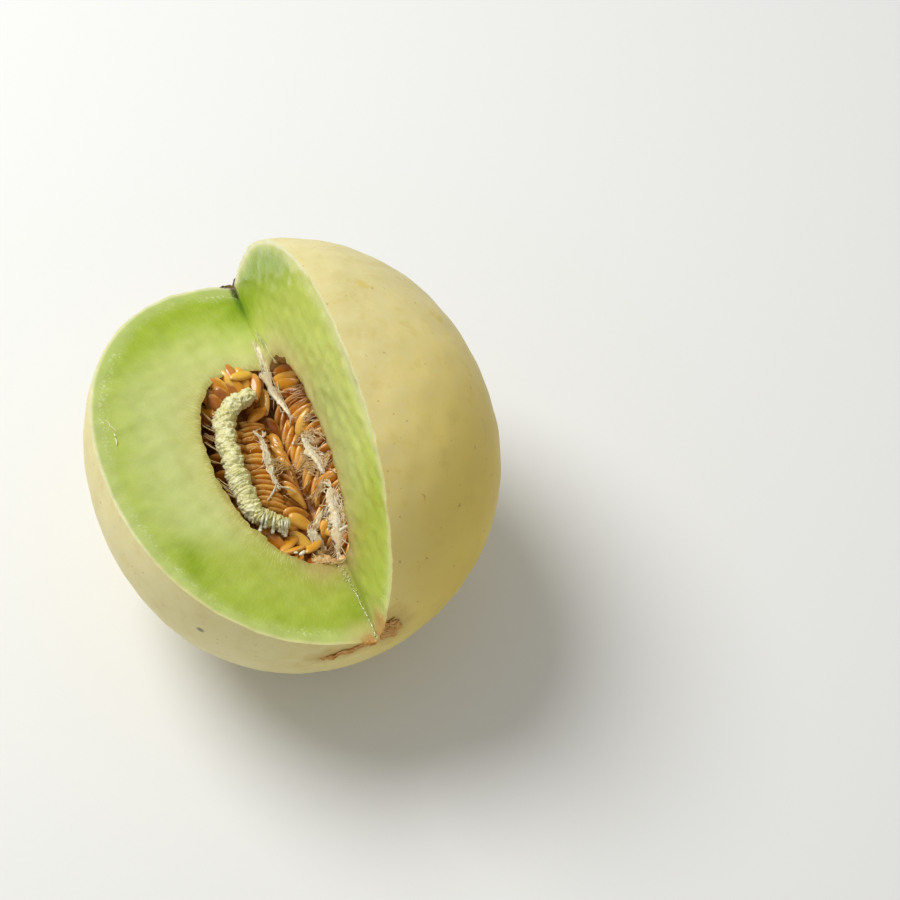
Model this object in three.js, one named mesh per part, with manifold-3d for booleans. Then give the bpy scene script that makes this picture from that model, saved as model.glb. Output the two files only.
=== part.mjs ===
// A cut honeydew melon that lies on its side. A wedge is gone from it, which opens the seed hollow.
// Millimetres, +Z up. The melon's axis runs along Y, with its stem end at +Y.
// Angles round the axis are in degrees, from +X towards +Z. Places are measured from the melon's middle.

import * as THREE from 'three';
import { mergeVertices } from 'three/addons/utils/BufferGeometryUtils.js';
import Module from 'manifold-3d';

const wasm = await Module();
wasm.setup();

// The whole melon
const GIRTH_RADIUS = 75;
const HALF_LENGTH = 80.2;
const STEM_FULLNESS = 2.05; // 2 gives an elliptic end, more gives a blunter one
const BLOSSOM_FULLNESS = 2.17;
const GIRTH_WAVES = [
  { turns: 2, cos: -0.007, sin: 0.0145 },
  { turns: 3, cos: 0.003, sin: 0.012 },
];
const MELON_SIDES = 54;
const MELON_RINGS = 32;

// The rest: a small flat spot under the melon, and where its middle is above the middle of the whole
const MIDDLE = { x: -0.3, y: -0.1, z: 74.6 };

// The two cuts, which meet in a crease near the axis
const LEFT_CUT = 158;
const RIGHT_CUT = 81.3;
const CREASE = { x: 4.8, z: -4.4 };
const CREASE_LEAN = { x: 2.3, z: 1.1 }; // further on at the stem end than at mid-length

// The seed hollow: three rounded lobes
const HOLLOW_MIDDLE = { x: -2.7, y: -3.6, z: -2.6 };
const HOLLOW_RADIUS = 27.7;
const LOBE_HEIGHT = 3.1;
const LOBE_TURN = 166;
const HOLLOW_HALF_LENGTH = 43.5;
const HOLLOW_STEM_FULLNESS = 2.5;
const HOLLOW_BLOSSOM_FULLNESS = 1.9;
const HOLLOW_SIDES = 26;
const HOLLOW_RINGS = 16;

const GAP = 0.3; // between pieces that touch
const SWEEP_FULLNESS = 6; // how blunt the ends of strands and bands are

// The seed heap's top, as a profile across the melon: distance from the crease, height above it
const HEAP_PROFILE = [
  [-36, -6], [-31, -3], [-27.5, 4.8], [-24, 4.8], [-12, 0], [-6, -4.5], [-3.5, -9],
  [-1, -7.5], [3, -2], [8, 1.5], [16, 4], [30, 7],
];
// The heap climbs towards the stem end, and the more so the further right of the crease
const STEM_RISE = { height: 6.2, slope: 0.45, from: 18, to: 38 };
const HEAP_CELL = 6; // the core's mesh
const SEED_DEPTH = 2.4; // the core's top lies this much below the seeds' tops

// One seed: a flat drop with its point towards the fibres that it grew on
const SEED = { length: 11.7, width: 4.9, thickness: 2.3 };
const SEED_POINT = 0.22; // the share by which it is slimmer at its pointed end
const SEED_FOOTING = 0.7; // it takes the heap's slope from this share of its half length either way
const SEED_SHOWS = 0.65; // at most this share of its height stands out of the core
const SEED_SIDES = 5;
const SEED_RINGS = 4;

// Rows of seeds: first and last place, number, heading of the long axis at both ends, roll on edge
const SEED_ROWS = [
  { from: [-22, 27], to: [-8, 33], count: 5, heading: [-62, -68], roll: 24 }, // stem end fan
  { from: [-5, 36], to: [1, 38], count: 2, heading: [-80, -100], roll: 15 }, // under the loose ones
  { from: [-8, 20], to: [-13.5, -16], count: 16, heading: [2, -22], roll: 88 }, // left stack
  { from: [-16, 16], to: [-20, -19], count: 8, heading: [-10, -30], roll: 80 }, // under the strand
  { from: [-26, 20], to: [-25, -14], count: 5, heading: [-30, -30], roll: 60 }, // left wall
  { from: [0.8, 19], to: [-1.5, 11], count: 2, heading: [-77, -82], roll: 22 }, // flat, in the groove
  { from: [-1, 7], to: [-3, -13], count: 7, heading: [-70, -55], roll: 60 }, // left of the groove
  { from: [4.3, 23], to: [6, -14], count: 11, heading: [62, 50], roll: 60 }, // right of the groove
  { from: [11, 38], to: [10.4, 30.5], count: 4, heading: [-25, -36], roll: 36 }, // stem end's far right
  { from: [11.5, 26.5], to: [12, 19], count: 4, heading: [-24, 14], roll: 62 }, // upper right
  { from: [15, 15], to: [11.5, -27], count: 12, heading: [10, 5], roll: 72 }, // right edge
  { from: [22, 20], to: [19, -24], count: 5, heading: [12, 2], roll: 75 }, // far right
  { from: [-18, -32], to: [-20, -28], count: 2, heading: [-60, -64], roll: 30 }, // blossom end's left
  { from: [3, -22], to: [5, -33], count: 3, heading: [60, 30], roll: 45 }, // right of the heap
  { from: [11, -31], to: [8, -41], count: 3, heading: [10, 60], roll: 60 }, // lower right
];
// Loose seeds that lie on the others: place, heading of the point, roll, height above the heap
const LOOSE_SEEDS = [
  { at: [-5.4, 37.6], heading: 195, roll: 8, lift: 1.8 }, // stem end
  { at: [-1.7, 32.6], heading: -104, roll: 14, lift: 2.4 },
  { at: [0.4, 28.7], heading: -102, roll: 34, lift: 1.2 },
  { at: [-4.7, 23.1], heading: -145, roll: 14, lift: 0.9 },
  { at: [10.5, 13.8], heading: 46, roll: 18, lift: 1.3 }, // right of the groove
  { at: [10.5, -11.6], heading: 7, roll: 30, lift: 1.1 },
  { at: [-5.7, -20.4], heading: -8, roll: 50, lift: 1.1 }, // blossom end
  { at: [-5.2, -24.9], heading: -43, roll: 16, lift: 0.8 },
  { at: [3.1, -27.1], heading: -74, roll: 30, lift: 0.6 },
  { at: [-8.2, -33.2], heading: -56, roll: 12, lift: 0.6 },
  { at: [-5.1, -35.6], heading: -142, roll: 20, lift: 1.7 },
  { at: [-13.7, -33.2], heading: -142, roll: 24, lift: 0.6 },
  { at: [-13.4, -36.4], heading: -169, roll: 55, lift: 1.5 },
];
const SEED_SCATTER = { place: 0.5, turn: 7, roll: 10, size: 0.08 };
const SEED_DRAWS = 11; // where the random draws start

// The pale strand that lies on the seeds along the left cut
const STRAND_RADIUS = 3.95;
const STRAND_TAPER = { share: 0.3, from: 0.7 }; // slimmer towards its blossom end
const STRAND_NECK = { share: 0.24, to: 0.17 }; // slimmer from its stem end to its bend
// Its places: distance along the axis, out from the crease, and under the cut
const STRAND_PATH = [
  [29, 10.5, -1.3], [27.4, 15, -0.8], [24.8, 20.6, 0.2], [20.8, 25.2, 1.1], [15, 27.2, 1.2], [8, 28.4, 1.1],
  [0, 29.2, 1], [-9, 29, 1], [-17.5, 28.4, 1], [-22.8, 26.6, 1.2], [-25.6, 22.6, 1.6], [-28, 16.2, 2.2],
];
const STRAND_FOLDS = 34;
const STRAND_FOLD_DEPTH = 0.1; // share of its radius
const STRAND_SIDES = 8;
// Short buds along its blossom end, with half their length
const BUDS = { count: 5, length: 2, radius: 0.8, sides: 6, rings: 4 };
const BUD_ROW = { from: [-18, -27.8, 2.6], to: [-12, -30.1, -0.6] };

// Bands of white fibre on the heap: places along each, and its half widths at both ends and half way
const BANDS = [
  { path: [[5.4, 43], [4.4, 37.5], [4.6, 33], [6, 27], [7.6, 17]], width: [1.3, 1.5, 0.5] }, // stem end
  { path: [[-7.4, 12.5], [-7.6, 8], [-8.2, 2], [-9, -4], [-8.6, -11]], width: [0.8, 0.8, 0.5] }, // left
  { path: [[8.1, 9], [8.4, 1.7], [9.4, -3.8], [9.4, -10]], width: [0.5, 1.6, 0.8] }, // right
  { path: [[9.6, -16], [8, -21.5], [7, -29], [5.2, -35.5], [3.2, -39.5]], width: [1.3, 2.4, 1] }, // lower
  { path: [[5, -21], [1, -24.5], [-2, -30], [1, -36]], width: [0.8, 1.5, 1.8] }, // lower web
];
const BAND_THICKNESS = 0.8; // half of it
const BAND_STATIONS = 9;
const BAND_SIDES = 6;

// Corky scars on the rind: the blossom end's ridge with its knot, and the stem end's disc
const RIDGE_PATH = [[-19, -8], [-13.5, -7.4], [-6.5, -5.6], [0.5, -4.2], [5.5, -1]];
const RIDGE = { height: 0.7, width: [1, 2.6], sides: 6, stations: 12 };
const KNOT = { x: 6, z: 0.5, width: 4.6, depth: 1, height: 6.5, sides: 12, rings: 6 };
const STEM_DISC = { x: 6, z: -2.5, radius: 5, depth: 1, sides: 12, rings: 6 };

const radians = THREE.MathUtils.degToRad;

function finish(name, hex, roughness) {
  return new THREE.MeshStandardMaterial({ name, color: hex, roughness, metalness: 0 });
}

// Solids

function solidFrom(geometry) {
  const bare = geometry.clone();
  bare.deleteAttribute('normal');
  bare.deleteAttribute('uv');
  const merged = mergeVertices(bare, 1e-4);
  return new wasm.Manifold(new wasm.Mesh({
    numProp: 3,
    vertProperties: new Float32Array(merged.attributes.position.array),
    triVerts: new Uint32Array(merged.index.array),
  }));
}

function geometryFrom(solid) {
  const mesh = solid.getMesh();
  const geometry = new THREE.BufferGeometry();
  geometry.setAttribute('position', new THREE.BufferAttribute(mesh.vertProperties, 3));
  geometry.setIndex(new THREE.BufferAttribute(mesh.triVerts, 1));
  geometry.computeVertexNormals();
  return geometry;
}

// The largest body alone, without loose scraps or sealed pockets
function mainBody(solid) {
  return solid.decompose().reduce((best, body) => (body.volume() > best.volume() ? body : best));
}

// Moves each vertex of a geometry by a function from its place to its new one
function reshape(geometry, place) {
  const position = geometry.attributes.position;
  const point = new THREE.Vector3();
  for (let i = 0; i < position.count; i += 1) {
    point.fromBufferAttribute(position, i);
    position.setXYZ(i, ...place(point).toArray());
  }
  return geometry;
}

// Forms round the melon's axis

function endCurve(share, stemFullness, blossomFullness) {
  const fullness = share > 0 ? stemFullness : blossomFullness;
  return Math.max(0, 1 - Math.abs(share) ** fullness) ** (1 / fullness);
}

function girthWave(turn) {
  return GIRTH_WAVES.reduce(
    (sum, wave) => sum + wave.cos * Math.cos(wave.turns * turn) + wave.sin * Math.sin(wave.turns * turn),
    1,
  );
}

function wholeMelon() {
  const ball = new THREE.SphereGeometry(1, MELON_SIDES, MELON_RINGS);
  return solidFrom(reshape(ball, ({ x, y, z }) => {
    const turn = Math.atan2(z, x);
    const r = GIRTH_RADIUS * girthWave(turn) * endCurve(y, STEM_FULLNESS, BLOSSOM_FULLNESS);
    return new THREE.Vector3(r * Math.cos(turn), HALF_LENGTH * y, r * Math.sin(turn));
  }));
}

function seedHollow(inset) {
  const ball = new THREE.SphereGeometry(1, HOLLOW_SIDES, HOLLOW_RINGS);
  return solidFrom(reshape(ball, ({ x, y, z }) => {
    const turn = Math.atan2(z, x);
    const lobes = HOLLOW_RADIUS + LOBE_HEIGHT * Math.cos(3 * (turn - radians(LOBE_TURN)));
    const r = (lobes - inset) * endCurve(y, HOLLOW_STEM_FULLNESS, HOLLOW_BLOSSOM_FULLNESS);
    return new THREE.Vector3(
      HOLLOW_MIDDLE.x + r * Math.cos(turn),
      HOLLOW_MIDDLE.y + (HOLLOW_HALF_LENGTH - inset) * y,
      HOLLOW_MIDDLE.z + r * Math.sin(turn),
    );
  }));
}

// The crease's place at a distance along the axis
function crease(y) {
  const share = y / HALF_LENGTH;
  return { x: CREASE.x + CREASE_LEAN.x * share, z: CREASE.z + CREASE_LEAN.z * share };
}

function cutWedge(inset) {
  const lift = inset / Math.sin(radians((LEFT_CUT - RIGHT_CUT) / 2));
  const bisector = radians((LEFT_CUT + RIGHT_CUT) / 2);
  const reach = 2 * GIRTH_RADIUS;
  const length = 3 * HALF_LENGTH;
  const corner = (angle) => [reach * Math.cos(radians(angle)), reach * Math.sin(radians(angle))];
  const section = new THREE.Shape();
  section.moveTo(0, 0);
  section.lineTo(...corner(RIGHT_CUT));
  section.lineTo(...corner((LEFT_CUT + RIGHT_CUT) / 2));
  section.lineTo(...corner(LEFT_CUT));
  section.closePath();
  const wedge = new THREE.ExtrudeGeometry(section, { depth: length, bevelEnabled: false, steps: 1 });
  wedge.rotateX(Math.PI / 2);
  wedge.translate(0, length / 2, 0);
  return solidFrom(reshape(wedge, ({ x, y, z }) => {
    const line = crease(y);
    return new THREE.Vector3(
      x + line.x + lift * Math.cos(bisector),
      y,
      z + line.z + lift * Math.sin(bisector),
    );
  }));
}

function flatSpotCutter() {
  const side = 2 * GIRTH_RADIUS;
  const block = new THREE.BoxGeometry(side, side, side);
  block.translate(0, 0, -MIDDLE.z - side / 2);
  return solidFrom(block);
}

// A closed body swept along a curve. size(share) gives half its width and height at a share of its length.
function sweep(curve, sides, stations, size) {
  const ball = new THREE.SphereGeometry(1, sides, stations);
  const up = new THREE.Vector3(0, 0, 1);
  return solidFrom(reshape(ball, ({ x, y, z }) => {
    const share = Math.acos(THREE.MathUtils.clamp(y, -1, 1)) / Math.PI;
    const round = endCurve(2 * share - 1, SWEEP_FULLNESS, SWEEP_FULLNESS);
    const spoke = Math.hypot(x, z) || 1;
    const across = new THREE.Vector3().crossVectors(curve.getTangentAt(share), up).normalize();
    const over = new THREE.Vector3().crossVectors(across, curve.getTangentAt(share));
    const { width, height } = size(share);
    return curve.getPointAt(share)
      .addScaledVector(across, -(x / spoke) * width * round)
      .addScaledVector(over, (z / spoke) * height * round);
  }));
}

// The seed heap

function heapTop(x, y) {
  const line = crease(y);
  const across = x - line.x;
  const climb = STEM_RISE.height + STEM_RISE.slope * Math.max(0, across);
  const rise = climb * THREE.MathUtils.smoothstep(y, STEM_RISE.from, STEM_RISE.to);
  const level = HEAP_PROFILE.slice(1).reduce((height, [end, endHeight], i) => {
    const [start, startHeight] = HEAP_PROFILE[i];
    const share = THREE.MathUtils.clamp((across - start) / (end - start), 0, 1);
    return share > 0 ? THREE.MathUtils.lerp(startHeight, endHeight, share) : height;
  }, HEAP_PROFILE[0][1]);
  return line.z + rise + level;
}

function heapCore() {
  const width = 2 * (HOLLOW_RADIUS + LOBE_HEIGHT) + HEAP_CELL;
  const length = 2 * HOLLOW_HALF_LENGTH + HEAP_CELL;
  const block = new THREE.BoxGeometry(
    width, length, 1, Math.round(width / HEAP_CELL), Math.round(length / HEAP_CELL), 1,
  );
  return solidFrom(reshape(block, ({ x, y, z }) => {
    const place = new THREE.Vector3(x + HOLLOW_MIDDLE.x, y + HOLLOW_MIDDLE.y, -2 * HOLLOW_RADIUS);
    if (z > 0) place.z = heapTop(place.x, place.y) - SEED_DEPTH;
    return place;
  }));
}

// A repeatable draw between -1 and 1
function seededDraws(seed) {
  let state = seed;
  return () => {
    state = (state * 1664525 + 1013904223) % 4294967296;
    return state / 2147483648 - 1;
  };
}

function seedForm() {
  const ball = new THREE.SphereGeometry(1, SEED_SIDES, SEED_RINGS);
  return reshape(ball, ({ x, y, z }) => {
    const drop = 1 - SEED_POINT * y;
    return new THREE.Vector3(
      y * SEED.length / 2,
      -x * drop * SEED.width / 2,
      z * drop * SEED.thickness / 2,
    );
  });
}

// A seed that follows the heap's slope. One that lies flat is sunk less than one on edge.
function seedAt(form, [x, y], heading, roll, lift, size) {
  const footing = (SEED_FOOTING * size * SEED.length) / 2;
  const ahead = { x: Math.cos(radians(heading)) * footing, y: Math.sin(radians(heading)) * footing };
  const front = heapTop(x + ahead.x, y + ahead.y);
  const back = heapTop(x - ahead.x, y - ahead.y);
  const pitch = Math.atan2(front - back, 2 * footing);
  const side = Math.abs(Math.sin(radians(roll))) * SEED.width;
  const flat = Math.abs(Math.cos(radians(roll))) * SEED.thickness;
  const height = size * (side + flat);
  const rise = Math.min(SEED_DEPTH, SEED_SHOWS * height);
  const turn = new THREE.Euler(radians(roll), -pitch, radians(heading), 'ZYX');
  const seed = form.clone();
  seed.scale(size, size, size);
  seed.applyMatrix4(new THREE.Matrix4().makeRotationFromEuler(turn));
  seed.translate(x, y, (front + back) / 2 - SEED_DEPTH + rise - height / 2 + lift);
  return solidFrom(seed);
}

function seeds() {
  const draw = seededDraws(SEED_DRAWS);
  const form = seedForm();
  const rows = SEED_ROWS.flatMap(({ from, to, count, heading, roll }) => {
    const row = [];
    for (let i = 0; i < count; i += 1) {
      const share = i / (count - 1);
      const between = (first, last, scatter) => first + (last - first) * share + draw() * scatter;
      row.push(seedAt(
        form,
        [between(from[0], to[0], SEED_SCATTER.place), between(from[1], to[1], SEED_SCATTER.place)],
        between(heading[0], heading[1], SEED_SCATTER.turn),
        between(roll, roll, SEED_SCATTER.roll),
        0,
        between(1, 1, SEED_SCATTER.size),
      ));
    }
    return row;
  });
  const loose = LOOSE_SEEDS.map(({ at, heading, roll, lift }) => seedAt(form, at, heading, roll, lift, 1));
  return [...rows, ...loose];
}

function band({ path, width }) {
  const curve = new THREE.CatmullRomCurve3(
    path.map(([x, y]) => new THREE.Vector3(x, y, heapTop(x, y) + BAND_THICKNESS / 2)),
  );
  const [start, middle, end] = width;
  return sweep(curve, BAND_SIDES, BAND_STATIONS, (share) => ({
    width: middle + ((share < 0.5 ? start : end) - middle) * Math.abs(2 * share - 1),
    height: BAND_THICKNESS,
  }));
}

// The strand

function strandCurve() {
  return new THREE.CatmullRomCurve3(STRAND_PATH.map(([along, out, sink]) => {
    const line = crease(along);
    return new THREE.Vector3(
      line.x + out * Math.cos(radians(LEFT_CUT)),
      along,
      line.z + out * Math.sin(radians(LEFT_CUT)) - sink,
    );
  }));
}

// growth fattens it evenly, as the room that the seeds leave for it
function strand(growth) {
  const folds = sweep(strandCurve(), STRAND_SIDES, 2 * STRAND_FOLDS, (share) => {
    const fold = Math.cos(2 * Math.PI * STRAND_FOLDS * share);
    const neck = STRAND_NECK.share * (1 - THREE.MathUtils.smoothstep(share, 0, STRAND_NECK.to));
    const taper = 1 - neck - STRAND_TAPER.share * THREE.MathUtils.smoothstep(share, STRAND_TAPER.from, 1);
    const radius = STRAND_RADIUS * taper * (1 + STRAND_FOLD_DEPTH * (growth > 0 ? 1 : fold)) + growth;
    return { width: radius, height: radius };
  });
  const buds = Array.from({ length: BUDS.count }, (_, i) => {
    const share = i / (BUDS.count - 1);
    const place = new THREE.Vector3(...BUD_ROW.from).lerp(new THREE.Vector3(...BUD_ROW.to), share);
    const bud = new THREE.SphereGeometry(1, BUDS.sides, BUDS.rings);
    bud.scale(BUDS.radius + growth, BUDS.length + growth, BUDS.radius + growth);
    bud.translate(...place.toArray());
    return solidFrom(bud);
  });
  return wasm.Manifold.union([folds, ...buds]);
}

// The scars

// A round flat lump, flat across the melon's axis
function lump({ sides, rings }, width, depth, height, place) {
  const ball = new THREE.SphereGeometry(1, sides, rings);
  ball.scale(width, depth, height);
  ball.translate(...place.toArray());
  return solidFrom(ball);
}

function scars() {
  const onBlossomEnd = (x, z) => {
    const share = endCurve(-Math.hypot(x, z) / GIRTH_RADIUS, STEM_FULLNESS, BLOSSOM_FULLNESS);
    return new THREE.Vector3(x, -HALF_LENGTH * share, z);
  };
  const ridgeCurve = new THREE.CatmullRomCurve3(RIDGE_PATH.map(([x, z]) => onBlossomEnd(x, z)));
  const ridge = sweep(ridgeCurve, RIDGE.sides, RIDGE.stations, (share) => ({
    width: RIDGE.height,
    height: THREE.MathUtils.lerp(RIDGE.width[0], RIDGE.width[1], share),
  }));
  const knot = lump(KNOT, KNOT.width, KNOT.depth, KNOT.height, onBlossomEnd(KNOT.x, KNOT.z));
  const onStemEnd = new THREE.Vector3(STEM_DISC.x, HALF_LENGTH, STEM_DISC.z);
  const disc = lump(STEM_DISC, STEM_DISC.radius, STEM_DISC.depth, STEM_DISC.radius, onStemEnd);
  return wasm.Manifold.union([ridge, knot, disc]);
}

// The pieces

function melonBody() {
  return wholeMelon().add(scars()).subtract(cutWedge(0)).subtract(seedHollow(0)).subtract(flatSpotCutter());
}

function seedMass() {
  const heap = wasm.Manifold.union([heapCore(), ...seeds(), ...BANDS.map(band)]);
  const room = seedHollow(GAP).add(cutWedge(GAP));
  return heap.intersect(room).subtract(strand(GAP));
}

function piece(name, solid, material) {
  const mesh = new THREE.Mesh(geometryFrom(mainBody(solid)), material);
  mesh.name = name;
  return mesh;
}

const cutMelon = new THREE.Group();
cutMelon.name = 'cut_honeydew_melon';
cutMelon.add(piece('melon', melonBody(), finish('melon flesh and rind', '#cfd78a', 0.45)));
cutMelon.add(piece('seed_mass', seedMass(), finish('wet melon seeds', '#c07a28', 0.3)));
cutMelon.add(piece('seed_strand', strand(0), finish('pale seed strand', '#dfe3ae', 0.4)));
cutMelon.position.set(MIDDLE.x, MIDDLE.y, MIDDLE.z);

export default cutMelon;
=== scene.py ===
import math
from functools import partial

import bpy
import numpy as np
from mathutils import Matrix, Vector


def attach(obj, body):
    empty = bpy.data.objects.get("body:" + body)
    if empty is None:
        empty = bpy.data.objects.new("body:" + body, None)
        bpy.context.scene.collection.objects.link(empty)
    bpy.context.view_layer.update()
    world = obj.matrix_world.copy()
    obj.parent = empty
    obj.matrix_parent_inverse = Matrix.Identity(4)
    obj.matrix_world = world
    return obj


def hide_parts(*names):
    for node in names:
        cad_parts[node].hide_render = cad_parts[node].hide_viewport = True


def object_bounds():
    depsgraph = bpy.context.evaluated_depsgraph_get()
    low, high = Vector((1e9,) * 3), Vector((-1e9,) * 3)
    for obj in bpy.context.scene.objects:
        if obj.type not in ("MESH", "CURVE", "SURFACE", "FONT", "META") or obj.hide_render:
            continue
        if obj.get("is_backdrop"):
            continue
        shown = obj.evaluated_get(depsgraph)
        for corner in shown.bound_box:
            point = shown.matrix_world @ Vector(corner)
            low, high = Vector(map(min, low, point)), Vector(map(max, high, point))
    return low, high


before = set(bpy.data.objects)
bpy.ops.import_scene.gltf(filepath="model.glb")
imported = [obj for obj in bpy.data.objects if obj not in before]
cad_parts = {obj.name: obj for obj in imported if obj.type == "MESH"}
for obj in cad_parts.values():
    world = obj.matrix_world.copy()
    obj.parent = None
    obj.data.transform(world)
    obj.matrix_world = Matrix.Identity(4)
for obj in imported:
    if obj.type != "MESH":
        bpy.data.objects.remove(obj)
cad_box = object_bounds()

# Flesh and rind
# A whole honeydew melon with one lengthwise wedge cut out of it with a knife, so it is one piece: a thin
# waxy rind over firm wet flesh. Sizes are in millimetres from the melon's middle, which lies on its axis.
MM = 0.001
MIDDLE = np.array([-0.3, -0.1, 74.6])
GIRTH_RADIUS = 75
HALF_LENGTH = 80.2
STEM_FULLNESS = 2.05  # 2 gives an elliptic end, more gives a blunter one
BLOSSOM_FULLNESS = 2.17
GIRTH_WAVES = [(2, -0.007, 0.0145), (3, 0.003, 0.012)]  # turns, cosine share, sine share
RIND_DETAIL = 7  # times that each side of an icosahedron is split, less one
SHADED_SIDE = (0.78, -0.62, 0)  # painted shade: the way to the side that is painted ochre, where shade falls
RIND_WAVE = (0.12, 14)  # height and length of the slight unevenness
LEFT_CUT = math.radians(158)
RIGHT_CUT = math.radians(81.3)
CREASE = np.array([4.8, 0, -4.4])
CREASE_LEAN = np.array([2.3, 0, 1.1])
CUT_REACH = 110
CUT_ENDS = (84, 96)  # where its fine steps end along the axis, and where it ends
CUT_STEP = 1.25
CUT_WAVES = [(0.22, 9), (0.09, 3.2)]
HOLLOW_MIDDLE = np.array([-2.7, -3.6, -2.6])
HOLLOW_RADIUS = 27.7
LOBE_HEIGHT = 3.1
LOBE_TURN = math.radians(166)
HOLLOW_HALF_LENGTH = 43.5
HOLLOW_STEM_FULLNESS = 2.5
HOLLOW_BLOSSOM_FULLNESS = 1.9
HOLLOW_WAVES = [(0.55, 7), (0.35, 2.6)]


def smoothstep(value, low, high):
    share = np.clip((value - low) / (high - low), 0, 1)
    return share * share * (3 - 2 * share)


def ripple(places, length, seed, waves=24):
    """Smooth random heights, mostly between -1 and 1, at places in millimetres."""
    draw = np.random.default_rng(seed)
    way = draw.normal(size=(waves, 3))
    lengths = length * np.linalg.norm(way, axis=1, keepdims=True)
    way *= 2 * np.pi * draw.uniform(0.6, 1.5, (waves, 1)) / lengths
    return np.cos(np.asarray(places) @ way.T + draw.uniform(0, 2 * np.pi, waves)).sum(1) / math.sqrt(waves)


def waves_on(places, waves, seed):
    """The sum of several ripples, each with its height and length, at places in rings."""
    flat = places.reshape(-1, 3)
    return sum(
        height * ripple(flat, length, seed + i) for i, (height, length) in enumerate(waves)
    ).reshape(places.shape[:-1])


def end_curve(share, stem_fullness, blossom_fullness):
    fullness = np.where(share > 0, stem_fullness, blossom_fullness)
    return np.maximum(0, 1 - np.abs(share) ** fullness) ** (1 / fullness)


def girth(turn):
    """The melon's radius at its middle, which is slightly uneven round it."""
    return GIRTH_RADIUS * (1 + sum(c * np.cos(n * turn) + s * np.sin(n * turn) for n, c, s in GIRTH_WAVES))


def lobed_radius(turn):
    return HOLLOW_RADIUS + LOBE_HEIGHT * np.cos(3 * (turn - LOBE_TURN))


def crease_at(along):
    """The crease between the cuts, at distances along the axis."""
    along = np.asarray(along, float)
    place = CREASE + CREASE_LEAN * (along / HALF_LENGTH)[..., None]
    place[..., 1] = along
    return place


def piece_from(name, places, faces, material=None, middle=MIDDLE):
    """A mesh object in the row frame, from places in millimetres from the melon's middle."""
    mesh = bpy.data.meshes.new(name)
    mesh.from_pydata(((np.asarray(places) + middle) * MM).tolist(), [], faces)
    mesh.validate()
    mesh.polygons.foreach_set("use_smooth", np.ones(len(mesh.polygons), bool))
    if material:
        mesh.materials.append(material)
    piece = bpy.data.objects.new(name, mesh)
    bpy.context.scene.collection.objects.link(piece)
    return piece


def lofted(rings):
    """Places and outward faces of a closed body through rings of places, with a fan at each end."""
    count, sides = rings.shape[:2]
    places = np.concatenate([rings.reshape(-1, 3), rings[0].mean(0)[None], rings[-1].mean(0)[None]])
    at = np.arange(count * sides).reshape(count, sides)
    ahead = np.roll(at, -1, axis=1)
    walls = np.stack([at[:-1], ahead[:-1], ahead[1:], at[1:]], -1).reshape(-1, 4).tolist()
    first, last = count * sides, count * sides + 1
    fans = [[first, b, a] for a, b in zip(at[0], ahead[0])]
    fans += [[last, a, b] for a, b in zip(at[-1], ahead[-1])]
    faces = walls + [[int(i) for i in fan] for fan in fans]
    origin = places.mean(0)
    corners = [f[:3] for f in faces] + [[f[0], f[2], f[3]] for f in faces if len(f) == 4]
    a, b, c = (places[[corner[i] for corner in corners]] - origin for i in range(3))
    if np.einsum("ij,ij->i", a, np.cross(b, c)).sum() < 0:
        faces = [f[::-1] for f in faces]
    return places, faces


def srgb(code):
    """A linear colour from its sRGB hex value."""
    parts = [int(code[i:i + 2], 16) / 255 for i in (1, 3, 5)]
    return [p / 12.92 if p <= 0.04045 else ((p + 0.055) / 1.055) ** 2.4 for p in parts] + [1]


NODES = {
    "place": ("ShaderNodeTexCoord", {}, (), "Object"),
    "field": ("ShaderNodeAttribute", {}, (), "Fac"),
    "ramp": ("ShaderNodeValToRGB", {}, ("Fac",), "Color"),
    "mix": ("ShaderNodeMix", {"data_type": "RGBA"}, (0, 6, 7), 2),
    "span": ("ShaderNodeMapRange", {"interpolation_type": "SMOOTHSTEP"}, (0, 1, 2, 3, 4), "Result"),
    "grain": ("ShaderNodeTexNoise", {}, ("Vector", "Scale", "Detail", "Roughness"), "Fac"),
    "along": ("ShaderNodeVectorMath", {"operation": "DOT_PRODUCT"}, (0, 1), "Value"),
    "stretch": ("ShaderNodeVectorMath", {"operation": "MULTIPLY"}, (0, 1), 0),
    "shift": ("ShaderNodeVectorMath", {"operation": "ADD"}, (0, 1), 0),
    "distance": ("ShaderNodeVectorMath", {"operation": "DISTANCE"}, (0, 1), "Value"),
    "bump": ("ShaderNodeBump", {}, ("Height", "Distance", "Strength"), "Normal"),
    "cells": ("ShaderNodeTexVoronoi", {}, ("Vector", "Scale"), "Distance"),
}  # kind, settings, sockets in their order and output of each short name; any other short name is a sum


def fill(made, values):
    """Puts links, plain values and hex colours in a node's sockets."""
    for key, value in values.items():
        if isinstance(value, bpy.types.NodeSocket):
            made.id_data.links.new(value, made.inputs[key])
        else:
            is_colour = isinstance(value, str) and value[0] == "#"
            made.inputs[key].default_value = srgb(value) if is_colour else value


def node(tree, name, *values, output=0, stops=(), **named):
    """Adds a node and gives one output. Capital names are sockets, the others settings."""
    sums = ("ShaderNodeMath", {"operation": name.upper()}, (0, 1, 2), 0)
    kind, settings, order, output = NODES.get(name, (name, {}, (), output) if "Node" in name else sums)
    made = tree.nodes.new(kind)
    for key, value in {**settings, **named}.items():
        if key.islower():
            setattr(made, key, value)
    sockets = {key.replace("_", " "): value for key, value in named.items() if not key.islower()}
    fill(made, {**dict(zip(order, values)), **sockets})
    for i, (place, colour) in enumerate(stops):
        band = made.color_ramp.elements
        stop = band[i] if i < len(band) else band.new(1)
        stop.position, stop.color = place, srgb(colour)
    return made.outputs[output] if len(made.outputs) else None


def surface(name):
    """A new material, what adds nodes to it, and its shader."""
    material = bpy.data.materials.new(name)
    material.use_nodes = True
    return material, partial(node, material.node_tree), material.node_tree.nodes["Principled BSDF"]


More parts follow.
